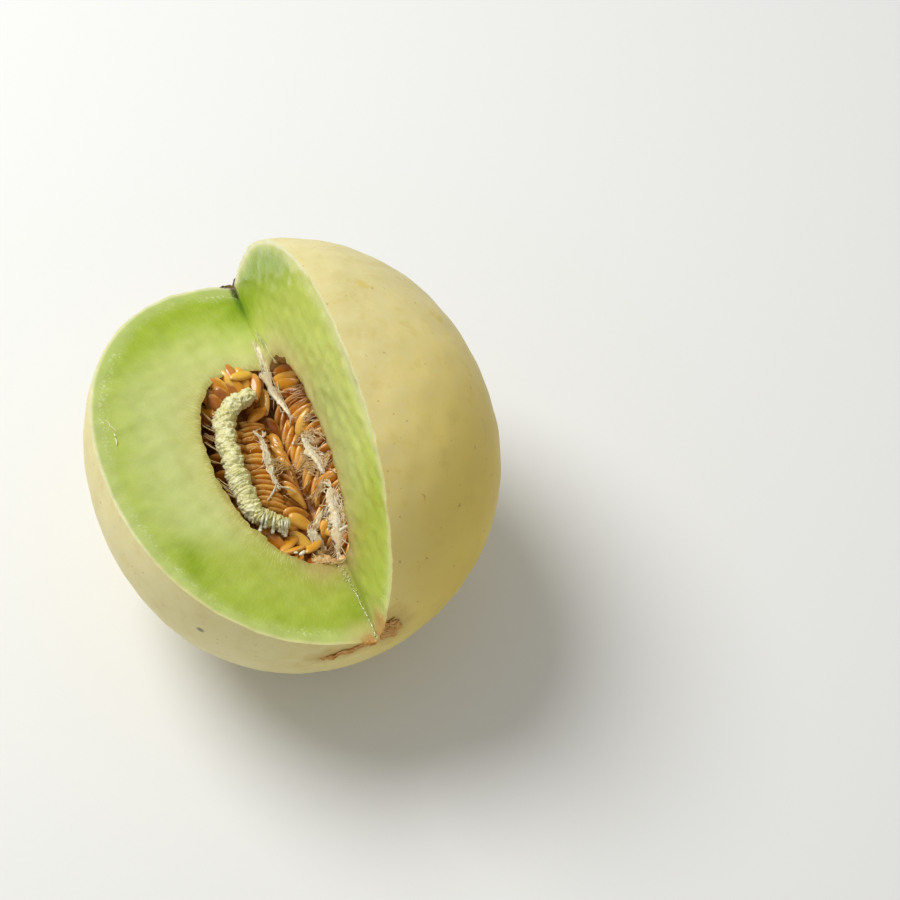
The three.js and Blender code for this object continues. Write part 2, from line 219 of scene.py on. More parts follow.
FLESH_FIELDS = (
    "depth", "inward", "hollow", "crease", "scar", "stem", "right", "stemward", "blossomward", "torn", "lime",
)
RIDGE_PATH = [(-19, -8), (-13.5, -7.4), (-6.5, -5.6), (0.5, -4.2), (5.5, -1)]  # the blossom scar's x and z
KNOT = (6, 0.5)
LIME_SPOTS = [(-38, 59, 15, 8), (72, 3, 16, 9), (-70, 2, 9, 8)]  # along, out from the crease, length, width
STEM_CORE = ((7.2, 81, -3.3), (6.9, 75.5, -3.4))
YELLOW_PATCHES = [
    ((35.1, 18.8, 65.1), 3.4), ((58.9, 5.1, 48.8), 4.2), ((56.1, -28.4, 46.4), 3.6),
]  # place and radius
BRUISE = (-55.5, -56.5, 1.3)


def waxy_rind():
    """Ripe honeydew rind: smooth and cream, ochre on its lower, shaded side as painted shade, with yellow
    patches, brown specks and a bruise.
    """
    material, add, shader = surface("waxy_cream_rind")
    place = add("place")
    cloud = add("grain", place, 28, 4, 0.55)
    mottle = add("grain", add("shift", place, (12, 24, -12)), 130, 4, 0.6)
    net = add("grain", add("shift", place, (3, 6, -3)), 420, 4, 0.7)
    cream = add("ramp", cloud, stops=[(0.3, "#d9cc86"), (0.5, "#dfd290"), (0.7, "#e5da9d")])
    golden = add("ramp", cloud, stops=[(0.3, "#ecd576"), (0.5, "#f1dd86"), (0.7, "#f5e394")])
    ochre = add("ramp", cloud, stops=[(0.3, "#cfae1e"), (0.5, "#d9bb2e"), (0.7, "#e3ca46")])
    # Painted shade: the rind turns golden and then ochre towards the side where shade falls, and the paler
    # bloom is left off that side.
    toward_shade = add("along", place, SHADED_SIDE)
    side = add("multiply_add", add("subtract", cloud, 0.5), 0.03, toward_shade)
    tone = add("mix", add("span", side, 0.01, 0.055), cream, golden)
    tone = add("mix", add("span", side, 0.036, 0.094), tone, ochre)
    lit_side_bloom = add("span", side, 0.03, 0.07, 1, 0)
    for share, colour in (
        (add("multiply", lit_side_bloom, add("span", mottle, 0.35, 0.7, 0, 0.3)), "#ebe1ac"),
        (add("span", mottle, 0.3, 0.45, 0.2, 0), "#ccb25c"),
        (add("multiply", lit_side_bloom, add("span", net, 0.45, 0.75, 0, 0.2)), "#efe7bc"),
    ):
        tone = add("mix", share, tone, colour)
    for centre, radius in YELLOW_PATCHES:
        patch = add("distance", place, ((np.array(centre) + MIDDLE) * MM).tolist())
        reach = add("multiply_add", add("subtract", mottle, 0.5), 0.012, patch)
        tone = add("mix", add("span", reach, 0, radius * MM, 0.5, 0), tone, "#dfc24e")
    freckle = add("span", add("grain", add("shift", place, (5, 10, -5)), 420, 2, 0.4), 0.7, 0.78, 0, 0.6)
    tone = add("mix", freckle, tone, "#b1823e")
    scar = add("field", attribute_name="scar")
    tone = add("mix", add("span", add("multiply_add", mottle, 7.0, scar), 4, 13, 0.7, 0), tone, "#c2a355")
    tone = add("mix", add("span", add("multiply_add", net, 3.0, scar), 1.6, 4.2, 0.85, 0), tone, "#b98544")
    bruise = add("distance", place, ((np.array(BRUISE) + MIDDLE) * MM).tolist())
    edge = add("add", bruise, add("multiply", net, 0.0012))
    tone = add("mix", add("span", edge, 0.0012, 0.0028, 0.85, 0), tone, "#5d6350")
    tone = add("mix", add("span", add("field", attribute_name="stem"), 2.5, 5, 0.85, 0), tone, "#6f5a2a")
    pores = add("add", net, add("multiply", cloud, 0.8))
    fill(shader, {
        "Base Color": tone, "Roughness": 0.45, "IOR": 1.45, "Specular IOR Level": 0.3,
        "Subsurface Weight": 0.12, "Subsurface Radius": (1.0, 0.7, 0.3), "Subsurface Scale": 0.002,
        "Normal": add("bump", pores, 0.00012, 0.5),
    })
    return material


def wet_flesh():
    """Cut honeydew flesh: wet and see-through, lime green under the rind, cream at the hollow, streaked."""
    material, add, shader = surface("wet_green_melon_flesh")
    place = add("place")
    depth, inward, hollow, crease, scar, stem, right, stemward, blossomward, torn, lime = (
        add("field", attribute_name=name) for name in FLESH_FIELDS
    )
    fan = add("ShaderNodeAttribute", attribute_name="streak", output="Vector")
    streaks = add("grain", fan, 1.0, 3, 0.6)
    cloud = add("grain", add("shift", place, (2, 4, -2)), 70, 3)
    swirl = add("multiply", add("subtract", cloud, 0.5), add("multiply_add", right, -0.6, 1.0))
    wander = add("multiply_add", swirl, 0.45, inward)
    wander = add("multiply_add", add("subtract", streaks, 0.5), 0.05, wander)
    waist = add("ramp", wander, stops=[
        (0.0, "#b3c35b"), (0.2, "#bbca63"), (0.42, "#c5d07e"),
        (0.65, "#cbd488"), (0.85, "#cbcd82"), (1.0, "#cac574"),
    ])
    stem_end = add("ramp", wander, stops=[
        (0.0, "#b4c654"), (0.18, "#a4bd26"), (0.36, "#aec344"),
        (0.58, "#cad678"), (0.85, "#dae092"), (1.0, "#cfcb80"),
    ])
    blossom_end = add("ramp", wander, stops=[
        (0.0, "#b2c454"), (0.2, "#a9bd3e"), (0.4, "#aebf46"), (0.7, "#b1bd4c"), (1.0, "#b4ba52"),
    ])
    tone = add("mix", add("multiply_add", swirl, 0.6, stemward, use_clamp=True), waist, stem_end)
    tone = add("mix", add("multiply_add", swirl, 0.9, blossomward, use_clamp=True), tone, blossom_end)
    ends = add("maximum", stemward, add("multiply", blossomward, 0.6))
    paler = add("multiply", add("span", wander, 0.35, 0.75, 0.42, 0.06), add("span", ends, 0, 0.6, 1, 0))
    tone = add("mix", add("multiply", right, paler), tone, "#e4ea8c")
    outer = add("multiply", add("multiply", right, ends), add("span", wander, 0.2, 0.6, 0.42, 0))
    tone = add("mix", outer, tone, "#93b01c")
    inner = add("multiply", add("multiply", right, stemward), add("span", wander, 0.4, 0.8, 0, 0.45))
    tone = add("mix", inner, tone, "#eaf0b2")
    tone = add("mix", add("multiply", lime, add("span", cloud, 0.3, 0.6, 0.5, 1)), tone, "#8aa60e")
    layer = add("multiply_add", swirl, 3.0, depth)
    tone = add("mix", add("span", layer, 1.0, 8.5, 0.55, 0), tone, "#ccd690")
    rim = add("multiply", layer, add("multiply_add", add("add", stemward, blossomward), 1.4, 1.0))
    tone = add("mix", add("multiply", right, add("span", rim, 3.0, 12.0, 0.8, 0)), tone, "#e6e4b0")
    along = add("ShaderNodeSeparateXYZ", Vector=place, output="Y")
    fresh = add("multiply", add("span", hollow, 2, 16, 0.3, 1), add("span", along, -0.03, 0.045, 0.15, 0.85))
    tone = add("mix", add("multiply", right, fresh), tone, "#eef2ae", blend_type="MULTIPLY")
    warmth = add("multiply", add("span", hollow, 0, 12, 0.3, 0), add("span", along, -0.03, 0.02, 0.4, 1))
    tone = add("mix", add("multiply", right, warmth), tone, "#eac49c")
    lighter = add("span", along, -0.045, -0.01, 0.32, 0)
    lighter = add("multiply", right, add("multiply", lighter, add("span", wander, 0.2, 0.8, 1, 0.5)))
    tone = add("mix", lighter, tone, "#e3ec70")
    border = add("multiply", add("span", layer, 2.8, 4.4), add("span", layer, 4.4, 8.0, 1, 0.05))
    patches = add("span", add("grain", add("shift", place, (6, 12, -6)), 26, 2), 0.42, 0.6, 0.15, 1)
    flecks = add("span", add("grain", add("shift", place, (4, 8, -4)), 1000, 2), 0.5, 0.68)
    pith = add("multiply", border, add("multiply", flecks, patches))
    tone = add("mix", add("multiply", pith, 0.6), tone, "#eaf0cc")
    fibres = add("span", add("grain", add("shift", fan, (8, 16, -8)), 3.2, 2), 0.47, 0.66)
    pale = add("multiply", fibres, add("span", hollow, 0, 12, 0.6, 0.1))
    tone = add("mix", pale, tone, "#e0dca4")
    # Olive at the hollow's lip: the torn fibrous edge, and painted shade where the flesh falls into the
    # hollow.
    lip_fibres_and_shade = add("multiply_add", fibres, 1.6, hollow)
    tone = add("mix", add("span", lip_fibres_and_shade, 0.3, 3.2, 0.8, 0), tone, "#a8984a")
    tone = add("mix", add("multiply", torn, add("span", cloud, 0.3, 0.6, 0.45, 0.9)), tone, "#bfa96c")
    # Painted shade: dark green in the crease near the stem end.
    shade = add("multiply", add("span", crease, 0.3, 3.4, 0.75, 0), add("span", stem, 5, 14, 1, 0))
    tone = add("mix", shade, tone, "#4d7a10")
    # Painted shade: olive green on the right cut beside the crease at the blossom end.
    foot = add("multiply", add("span", crease, 1.0, 6.0, 0.45, 0), add("multiply", right, blossomward))
    tone = add("mix", foot, tone, "#82922a")
    skin = add("mix", blossomward, "#eee8c0", "#dcd69c")
    tone = add("mix", add("span", add("multiply_add", right, -0.7, depth), 0.5, 1.8, 0.85, 0), tone, skin)
    for share, colour in (
        (add("span", add("multiply_add", swirl, 6.0, scar), 1, 8, 0.7, 0), "#cdc183"),
        (add("span", add("multiply_add", flecks, 1.2, scar), 0.6, 3.4, 0.85, 0), "#c89554"),
        (add("span", add("multiply_add", flecks, 1.5, stem), 0.8, 2.8, 0.85, 0), "#4d4214"),
    ):
        tone = add("mix", share, tone, colour)
    damp = add("span", add("grain", add("shift", place, (9, 18, -9)), 160, 2), 0.35, 0.7, 0.28, 0.48)
    cells = add("cells", place, 1100.0, feature="SMOOTH_F1")
    height = add("multiply_add", streaks, 0.8, cells)
    fill(shader, {
        "Base Color": tone, "IOR": 1.36, "Subsurface Weight": 0.35, "Subsurface Radius": (0.7, 1.0, 0.25),
        "Subsurface Scale": 0.004, "Coat Weight": 0.25, "Coat Roughness": 0.12, "Roughness": damp,
        "Normal": add("bump", height, 0.00012, 0.5),
    })
    return material


def mottled(name, stops, scale, detail, height, values):
    """A soft wet finish: its colour and its unevenness follow one grain."""
    material, add, shader = surface(name)
    cloud = add("grain", add("place"), scale, detail, 0.6)
    fill(shader, {
        "Base Color": add("ramp", cloud, stops=stops), "Normal": add("bump", cloud, *height), **values,
    })
    return material


def torn_wall():
    """The hollow's wall: soft torn flesh, beige to brown with juice, with pale fibres."""
    tones = [(0.3, "#86602a"), (0.5, "#a98445"), (0.7, "#cbb174")]
    return mottled("torn_beige_hollow_wall", tones, 190, 4, (0.0006,), {
        "Roughness": 0.35, "IOR": 1.36, "Subsurface Weight": 0.2, "Subsurface Scale": 0.002,
    })


def whole_rind():
    bpy.ops.mesh.primitive_ico_sphere_add(subdivisions=RIND_DETAIL, radius=1)
    ball = bpy.context.object
    round_places = np.zeros(len(ball.data.vertices) * 3, np.float32)
    ball.data.vertices.foreach_get("co", round_places)
    faces = [list(p.vertices) for p in ball.data.polygons]
    bpy.data.objects.remove(ball)
    x, y, z = round_places.reshape(-1, 3).astype(float).T
    turn = np.arctan2(z, x)
    radius = girth(turn) * end_curve(y, STEM_FULLNESS, BLOSSOM_FULLNESS)
    places = np.stack([radius * np.cos(turn), HALF_LENGTH * y, radius * np.sin(turn)], 1)
    height, length = RIND_WAVE
    places *= (1 + (height * ripple(places, length, 1) - height) / GIRTH_RADIUS)[:, None]
    places[:, 2] = np.maximum(places[:, 2], -MIDDLE[2])
    return places, faces


def wedge_cutter():
    """The wedge that the knife took, with the faint waves that the blade leaves on both faces."""
    out = np.append(np.arange(0, GIRTH_RADIUS + 12, CUT_STEP), CUT_REACH)
    fine, end = CUT_ENDS
    along = np.concatenate([[-end], np.arange(-fine, fine + 0.1, CUT_STEP), [end]])
    line = crease_at(along)[:, None]

    def face(angle, seed):
        places = line + out[None, :, None] * np.array([math.cos(angle), 0, math.sin(angle)])
        normal = np.array([-math.sin(angle), 0, math.cos(angle)])
        wave = waves_on(places, CUT_WAVES, seed) * smoothstep(out, 0, 6)
        return places + wave[..., None] * normal

    rings = np.concatenate([face(RIGHT_CUT, 20), face(LEFT_CUT, 30)[:, :0:-1]], axis=1)
    return lofted(rings)


def hollow_form(sides, stations, gap):
    """Rings of the three-lobed hollow, or of a form in it that keeps a gap to its wall, and the ways out."""
    turn = np.linspace(0, 2 * np.pi, sides, endpoint=False)
    share = -np.cos(np.linspace(0.03, np.pi - 0.03, stations))
    ends = end_curve(share, HOLLOW_STEM_FULLNESS, HOLLOW_BLOSSOM_FULLNESS)[:, None]
    ways = np.stack([np.cos(turn), 0 * turn, np.sin(turn)], 1)[None]
    places = HOLLOW_MIDDLE + ((lobed_radius(turn) - gap)[None] * ends)[..., None] * ways
    places[..., 1] += (HOLLOW_HALF_LENGTH - gap) * share[:, None]
    return places, ways


def hollow_cutter():
    """The seed hollow: three lobes, with a torn, slightly ragged wall."""
    places, ways = hollow_form(150, 110, 0)
    return lofted(places + waves_on(places, HOLLOW_WAVES, 40)[..., None] * ways)


def cut_away(piece, cutters):
    """The piece less its cutters, as a plain mesh that keeps each one's material on its own faces."""
    for cutter in cutters:
        step = piece.modifiers.new("cut", "BOOLEAN")
        step.operation = "DIFFERENCE"
        step.solver = "MANIFOLD"
        step.material_mode = "TRANSFER"
        step.object = cutter
    graph = bpy.context.evaluated_depsgraph_get()
    cut = bpy.data.meshes.new_from_object(piece.evaluated_get(graph))
    piece.modifiers.clear()
    piece.data = cut
    for cutter in cutters:
        bpy.data.objects.remove(cutter)
    return piece


def outside(places, middle, radius, half_length, *ends):
    """How far places lie outside a long round form, in millimetres. It is less than nothing within it."""
    def size(at):
        x, y, z = (at - middle).T
        fullness = np.where(y > 0, *ends)
        across = np.hypot(x, z) / radius(np.arctan2(z, x))
        return (across ** fullness + np.abs(y / half_length) ** fullness) ** (1 / fullness)
    slope = np.stack([size(places + step) - size(places - step) for step in np.eye(3) * 0.5], 1)
    return (size(places) - 1) / np.linalg.norm(slope, axis=1)


def path_distance(places, path):
    """How far places lie from a path of straight legs, in millimetres."""
    nearest = np.full(len(places), np.inf)
    for start, end in zip(np.array(path, float)[:-1], np.array(path, float)[1:]):
        leg = end - start
        share = np.clip((places - start) @ leg / (leg @ leg), 0, 1)
        nearest = np.minimum(nearest, np.linalg.norm(places - start - share[:, None] * leg, axis=1))
    return nearest


def store(mesh, name, values, kind="FLOAT"):
    """Keeps values on a mesh's points, for its material to read."""
    layer = mesh.attributes.new(name, kind, "POINT").data
    layer.foreach_set("vector" if kind == "FLOAT_VECTOR" else "value", np.asarray(values, np.float32).ravel())


def points_of(mesh):
    places = np.zeros(len(mesh.vertices) * 3, np.float32)
    mesh.vertices.foreach_get("co", places)
    return places.reshape(-1, 3).astype(float) / MM - MIDDLE


def cut_melon():
    rind, flesh = waxy_rind(), wet_flesh()
    melon = piece_from("melon_flesh_and_rind", *whole_rind(), rind)
    wedge = piece_from("wedge_cutter", *wedge_cutter(), flesh)
    hollow = piece_from("hollow_cutter", *hollow_cutter(), torn_wall())
    cut_away(melon, [wedge, hollow])
    mesh = melon.data
    places = points_of(mesh)
    along = places[:, 1]
    depth = -outside(places, 0, girth, HALF_LENGTH, STEM_FULLNESS, BLOSSOM_FULLNESS)
    distance = np.maximum(0, outside(
        places, HOLLOW_MIDDLE, lobed_radius, HOLLOW_HALF_LENGTH, HOLLOW_STEM_FULLNESS, HOLLOW_BLOSSOM_FULLNESS
    ))
    out = places - crease_at(along)
    turn = np.arctan2(out[:, 2], out[:, 0])
    on_right = np.abs(turn - RIGHT_CUT) < np.abs(turn - LEFT_CUT)
    reach = np.hypot(out[:, 0], out[:, 2])
    ridge = np.array([(x, -HALF_LENGTH, z) for x, z in RIDGE_PATH]) * [1, 0.6, 1]
    knot = np.linalg.norm((places - [KNOT[0], -HALF_LENGTH, KNOT[1]]) * [1, 0.6, 0.7], axis=1) - 3.2
    fields = {
        "depth": depth,
        "inward": depth / (depth + distance + 0.01),
        "hollow": distance,
        "crease": reach,
        "scar": np.maximum(0, np.minimum(path_distance(places * [1, 0.6, 1], ridge), knot)),
        "stem": path_distance(places, STEM_CORE),
        "right": on_right,
        "stemward": smoothstep(along, 28, 62),
        "blossomward": np.where(on_right, smoothstep(-along, 32, 54), smoothstep(-along, 20, 44)),
        "lime": 0.8 * (sum(
            np.exp(-((along - y) / length) ** 2 - ((reach - spot) / width) ** 2)
            for y, spot, length, width in LIME_SPOTS
        ) * (1 - on_right)) ** 2,
        "torn": np.exp(-(distance / 7) ** 2) * smoothstep(-along, 33, 41) * (1 - smoothstep(reach, 12, 26)),
    }
    for name, values in fields.items():
        store(mesh, name, values)
    fan = np.arctan2(along, reach) * 60
    streak = np.stack([fan * 1.1, np.hypot(along, reach) * 0.12, 40.0 * on_right], 1)
    store(mesh, "streak", streak, "FLOAT_VECTOR")
    mesh.set_sharp_from_angle(angle=math.radians(40))
    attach(melon, "root")
    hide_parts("melon")
    return melon


melon = cut_melon()

# Scars on the rind
# Where the flower sat and where the stalk was, the rind has healed to brown cork, raised and cracked.
# The blossom scar is a thin ridge that ends in a broad knot. The stem scar is a small dark disc.
RIDGE_HEIGHT = 0.6
RIDGE_WIDTH = (1.4, 2.4)
KNOT_SIZE = (4.6, 0.85, 6.5)
STEM_DISC = (6, -2.5)
STEM_DISC_SIZE = (5, 1, 5)


def scar_cork(name, tones):
    """Healed cork on a melon: matt, feathery and cracked, paler on its high places."""
    material, add, shader = surface(name)
    place = add("place")
    combed = add("stretch", place, (0.4, 1, 1.5))
    crust = add("grain", combed, 620, 5, 0.72)
    low, high = 0.3, 0.72
    step = (high - low) / (len(tones) - 1)
    tone = add("ramp", crust, stops=[(low + i * step, colour) for i, colour in enumerate(tones)])
    cracks = add("cells", place, 700.0, feature="DISTANCE_TO_EDGE")
    height = add("add", crust, add("minimum", cracks, 0.2))
    fill(shader, {"Base Color": tone, "Roughness": 0.8, "Normal": add("bump", height, 0.0005)})
    return material


def spline(knots, shares):
    """Places on a smooth curve through knots, at shares of its length, with its directions."""
    knots = np.array(knots, float)
    ends = np.concatenate([[2 * knots[0] - knots[1]], knots, [2 * knots[-1] - knots[-2]]])
    steps = np.linspace(0, len(knots) - 1, 40 * len(knots))
    cell = np.minimum(steps.astype(int), len(knots) - 2)
    t = (steps - cell)[:, None]
    a, b, c, d = (ends[cell + i] for i in range(4))
    curve = 2 * b + (c - a) * t + (2 * a - 5 * b + 4 * c - d) * t ** 2 + (3 * b - a - 3 * c + d) * t ** 3
    curve *= 0.5
    run = np.concatenate([[0], np.cumsum(np.linalg.norm(np.diff(curve, axis=0), axis=1))])
    at = np.stack([np.interp(shares * run[-1], run, axis) for axis in curve.T], 1)
    way = np.gradient(at, axis=0)
    return at, way / np.maximum(np.linalg.norm(way, axis=1, keepdims=True), 1e-9)


def tube(at, way, width, height, sides, over=(0, 0, 1)):
    """Rings of a closed sweep, with its half widths across and half heights towards over."""
    side = np.cross(way, over)
    side /= np.maximum(np.linalg.norm(side, axis=1, keepdims=True), 1e-9)
    top = np.cross(side, way)
    angle = np.linspace(0, 2 * np.pi, sides, endpoint=False)
    width, height = (np.asarray(v, float).reshape(-1, 1) if np.ndim(v) == 1 else v for v in (width, height))
    return (at[:, None] + (np.cos(angle) * width)[..., None] * side[:, None]
            + (np.sin(angle) * height)[..., None] * top[:, None])


def joined(bodies):
    """One list of places and faces from several bodies."""
    places, faces, count = [], [], 0
    for body_places, body_faces in bodies:
        places.append(body_places)
        faces += [[v + count for v in f] for f in body_faces]
        count += len(body_places)
    return np.concatenate(places), faces


def on_blossom_end(x, z):
    share = end_curve(-math.hypot(x, z) / GIRTH_RADIUS, STEM_FULLNESS, BLOSSOM_FULLNESS)
    return (x, -HALF_LENGTH * float(share), z)


def lump(middle, size, seed):
    """A round lump, flat across the melon's axis, with a ragged edge and an uneven face."""
    turn = np.linspace(0, 2 * np.pi, 72, endpoint=False)
    share = np.linspace(0.02, 0.98, 36)[:, None] * np.pi
    ways = [np.sin(share) * np.cos(turn), np.cos(share) + 0 * turn, np.sin(share) * np.sin(turn)]
    places = np.stack(ways, -1) * size
    ragged = 1 + 0.2 * ripple(places.reshape(-1, 3), 1.7, seed).reshape(share.size, -1)
    places[..., [0, 2]] *= ragged[..., None]
    places[..., 1] *= 1 - 0.4 * np.abs(ripple(places.reshape(-1, 3), 1.4, seed + 1)).reshape(share.size, -1)
    return places + middle


def blossom_scar(cork):
    share = np.linspace(0, 1, 150)
    at, way = spline([on_blossom_end(x, z) for x, z in RIDGE_PATH], share)
    at[:, 2] += 0.5 * ripple(at, 4, 50)
    angle = np.linspace(0, 2 * np.pi, 26, endpoint=False)
    taper = end_curve(2 * share - 1, 2.4, 3)[:, None]
    lumps = 1 + 0.35 * ripple(at, 4, 51)[:, None] + 0.18 * np.cos(3 * angle + 9 * share[:, None])
    width = (RIDGE_WIDTH[0] + (RIDGE_WIDTH[1] - RIDGE_WIDTH[0]) * share[:, None] ** 2) * taper * lumps
    rings = tube(at, way, RIDGE_HEIGHT * taper * lumps, width, len(angle))
    flat = rings.reshape(-1, 3)
    flat += 0.2 * ripple(flat, 1.3, 52)[:, None] * np.array([0.3, 1, 0.3])
    knot = lump(on_blossom_end(*KNOT), KNOT_SIZE, 53)
    places, faces = joined([lofted(rings), lofted(knot)])
    places[:, 1] = np.maximum(places[:, 1], -HALF_LENGTH - KNOT_SIZE[1])
    scar = piece_from("blossom_scar", places, faces, cork)
    cut_away(scar, [piece_from("wedge_cutter", *wedge_cutter(), cork)])
    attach(scar, "root")


def stem_scar(cork):
    rings = lump((STEM_DISC[0], HALF_LENGTH, STEM_DISC[1]), STEM_DISC_SIZE, 55)
    rings[..., 1] = np.minimum(rings[..., 1], HALF_LENGTH + STEM_DISC_SIZE[1])
    disc = piece_from("stem_scar", *lofted(rings), cork)
    cut_away(disc, [piece_from("wedge_cutter", *wedge_cutter(), cork)])
    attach(disc, "root")


blossom_scar(scar_cork("cracked_tan_cork", ["#763a12", "#b8742e", "#d9a656", "#e3b96e", "#e9ca8c"]))
stem_scar(scar_cork("dark_stalk_cork", ["#3c300f", "#6b5722", "#a48d4e"]))

# Pulp under the seeds
# The soft dark bed that the seeds grow from. It fills the hollow up to just under the seeds.
GAP = 0.3
HEAP_PROFILE = [
    (-36, -6), (-31, -3), (-27.5, 4.8), (-24, 4.8), (-12, 0), (-6, -4.5), (-3.5, -9),
    (-1, -7.5), (3, -2), (8, 1.5), (16, 4), (30, 7),
]  # distance from the crease, and height above it
STEM_RISE = (6.2, 0.45, 18, 38)  # height, slope to the right, and where along the axis it starts and ends
SEED_DEPTH = 2.4


def heap_top(x, y):
    x, y = np.asarray(x, float), np.asarray(y, float)
    line = crease_at(y)
    across = x - line[..., 0]
    height, slope, start, end = STEM_RISE
    rise = (height + slope * np.maximum(0, across)) * smoothstep(y, start, end)
    return line[..., 2] + rise + np.interp(across, *np.array(HEAP_PROFILE).T)


def pulp():
    """Wet pulp: brown and slimy, with lighter threads."""
    tones = [(0.35, "#5a2e0c"), (0.5, "#85501c"), (0.62, "#a9722e"), (0.75, "#c79a58")]
    return mottled("wet_brown_pulp", tones, 260, 4, (0.001,), {"Roughness": 0.22, "IOR": 1.36})


def pulp_bed():
    places, _ = hollow_form(140, 100, GAP)
    flat = places.reshape(-1, 3)
    top = heap_top(flat[:, 0], flat[:, 1]) - SEED_DEPTH - 0.5 + 0.5 * ripple(flat * [1, 1, 0], 4, 61)
    flat[:, 2] = np.minimum(flat[:, 2], top)
    bed = piece_from("pulp_bed", *lofted(places), pulp())
    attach(bed, "root")
    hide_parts("seed_mass")


pulp_bed()

# Seeds
# Flat drop-shaped seeds, orange to brown and wet, stacked in rows on their edges as they grew, with loose
# ones at both ends of the hollow. A second layer shows in the gaps between the uppermost ones.
SEED_LENGTH = 11.7
SEED_WIDTH = 4.9
SEED_THICKNESS = 2.3
SEED_POINT = 0.22
SEED_FOOTING = 0.7
SEED_SHOWS = 0.65
SEED_ROWS = [
    ((-22, 27), (-8, 33), 5, (-62, -68), 24),  # stem end fan
    ((-5, 36), (1, 38), 2, (-80, -100), 15),  # under the loose ones
    ((-8, 20), (-13.5, -16), 16, (2, -22), 88),  # left stack
    ((-16, 16), (-20, -19), 8, (-10, -30), 80),  # under the strand
    ((-26, 20), (-25, -14), 5, (-30, -30), 60),  # left wall
    ((0.8, 19), (-1.5, 11), 2, (-77, -82), 22),  # flat, in the groove
    ((-1, 7), (-3, -13), 7, (-70, -55), 60),  # left of the groove
    ((4.3, 23), (6, -14), 11, (62, 50), 60),  # right of the groove
    ((11, 38), (10.4, 30.5), 4, (-25, -36), 36),  # stem end's far right
    ((11.5, 26.5), (12, 19), 4, (-24, 14), 62),  # upper right
    ((15, 15), (11.5, -27), 12, (10, 5), 72),  # right edge
    ((22, 20), (19, -24), 5, (12, 2), 75),  # far right
    ((-18, -32), (-20, -28), 2, (-60, -64), 30),  # blossom end's left
    ((3, -22), (5, -33), 3, (60, 30), 45),  # right of the heap
    ((11, -31), (8, -41), 3, (10, 60), 60),  # lower right
]  # first and last place, number, heading at both ends, roll on edge
LOOSE_SEEDS = [
    ((-5.4, 37.6), 195, 8, 1.8),  # stem end
    ((-1.7, 32.6), -104, 14, 2.4),
    ((0.4, 28.7), -102, 34, 1.2),
    ((-4.7, 23.1), -145, 14, 0.9),
    ((10.5, 13.8), 46, 18, 1.3),  # right of the groove
    ((10.5, -11.6), 7, 30, 1.1),
    ((-5.7, -20.4), -8, 50, 1.1),  # blossom end
    ((-5.2, -24.9), -43, 16, 0.8),
    ((3.1, -27.1), -74, 30, 0.6),
    ((-8.2, -33.2), -56, 12, 0.6),
    ((-5.1, -35.6), -142, 20, 1.7),
    ((-13.7, -33.2), -142, 24, 0.6),
    ((-13.4, -36.4), -169, 55, 1.5),
]  # place, heading of the point, roll, height above the others
# Painted light: the loose seeds that lie on top of the others are coloured lighter.
LOOSE_SEED_PAINTED_LIGHT = 0.35
EDGE_ROWS = [
    ((-24, 26), (-9, 38.5), 8, (-50, -75), 26),  # behind the stem end fan
    ((-16, -41), (2, -43), 6, (-150, -60), 30),  # at the blossom end's edge
]
PLACE_SCATTER = 0.5
TURN_SCATTER = 7
ROLL_SCATTER = 10
SIZE_SCATTER = 0.08
SEED_DRAWS = 11
UNDER_DRAWS = 29
UNDER_DROP = 1.7


def seeded_draws(seed):
    """Repeatable draws between -1 and 1."""
    state = seed
    while True:
        state = (state * 1664525 + 1013904223) % 4294967296
        yield state / 2147483648 - 1


def seed_at(place, heading, roll, lift, size):
    """A seed's place and its turn, so that it follows the heap's slope. One that lies flat is sunk less."""
    (x, y), way, tilt = place, math.radians(heading), math.radians(roll)
    footing = SEED_FOOTING * size * SEED_LENGTH / 2
    front = float(heap_top(x + math.cos(way) * footing, y + math.sin(way) * footing))
    back = float(heap_top(x - math.cos(way) * footing, y - math.sin(way) * footing))
    height = size * (abs(math.sin(tilt)) * SEED_WIDTH + abs(math.cos(tilt)) * SEED_THICKNESS)
    rise = min(SEED_DEPTH, SEED_SHOWS * height)
    middle = (x, y, (front + back) / 2 - SEED_DEPTH + rise - height / 2 + lift)
    return middle, (tilt, -math.atan2(front - back, 2 * footing), way), size


def row_places(rows, start, scatter, drop):
    """Where each seed of the rows lies, how it is turned, and its size."""
    draw = seeded_draws(start)
    for first, last, count, heading, roll in rows:
        for i in range(count):
            ends = zip((*first, heading[0]), (*last, heading[1]))
            x, y, way = (a + (b - a) * i / (count - 1) for a, b in ends)
            place = [at + next(draw) * (PLACE_SCATTER * scatter) for at in (x, y)]
            way += next(draw) * (TURN_SCATTER * scatter)
            tilt = roll + next(draw) * (ROLL_SCATTER * scatter)
            yield seed_at(place, way, tilt, -drop, 1 + next(draw) * SIZE_SCATTER)


def seed_form():
    """One seed with its long axis along X and its point at +X: a crowned drop with a thin pale rim."""
    angle = np.linspace(0, 2 * np.pi, 16, endpoint=False)
    outline = np.stack([
        np.cos(angle) * SEED_LENGTH / 2,
        np.sin(angle) * (1 - SEED_POINT * np.cos(angle)) * SEED_WIDTH / 2 * (1 - 0.16 * np.cos(angle) ** 4),
        0 * angle,
    ], 1)
    levels = [(0.35, -0.5), (0.78, -0.38), (1, -0.1), (1, 0.1), (0.78, 0.38), (0.35, 0.5)]
    rings = np.stack([outline * scale + [0, 0, height * SEED_THICKNESS] for scale, height in levels])
    places, faces = lofted(rings)
    rim = np.concatenate([np.repeat([0, 0.1, 1, 1, 0.1, 0], len(angle)), [0, 0]])
    form = piece_from("seed_form", places, faces, middle=0)
    store(form.data, "rim", rim)
    return form


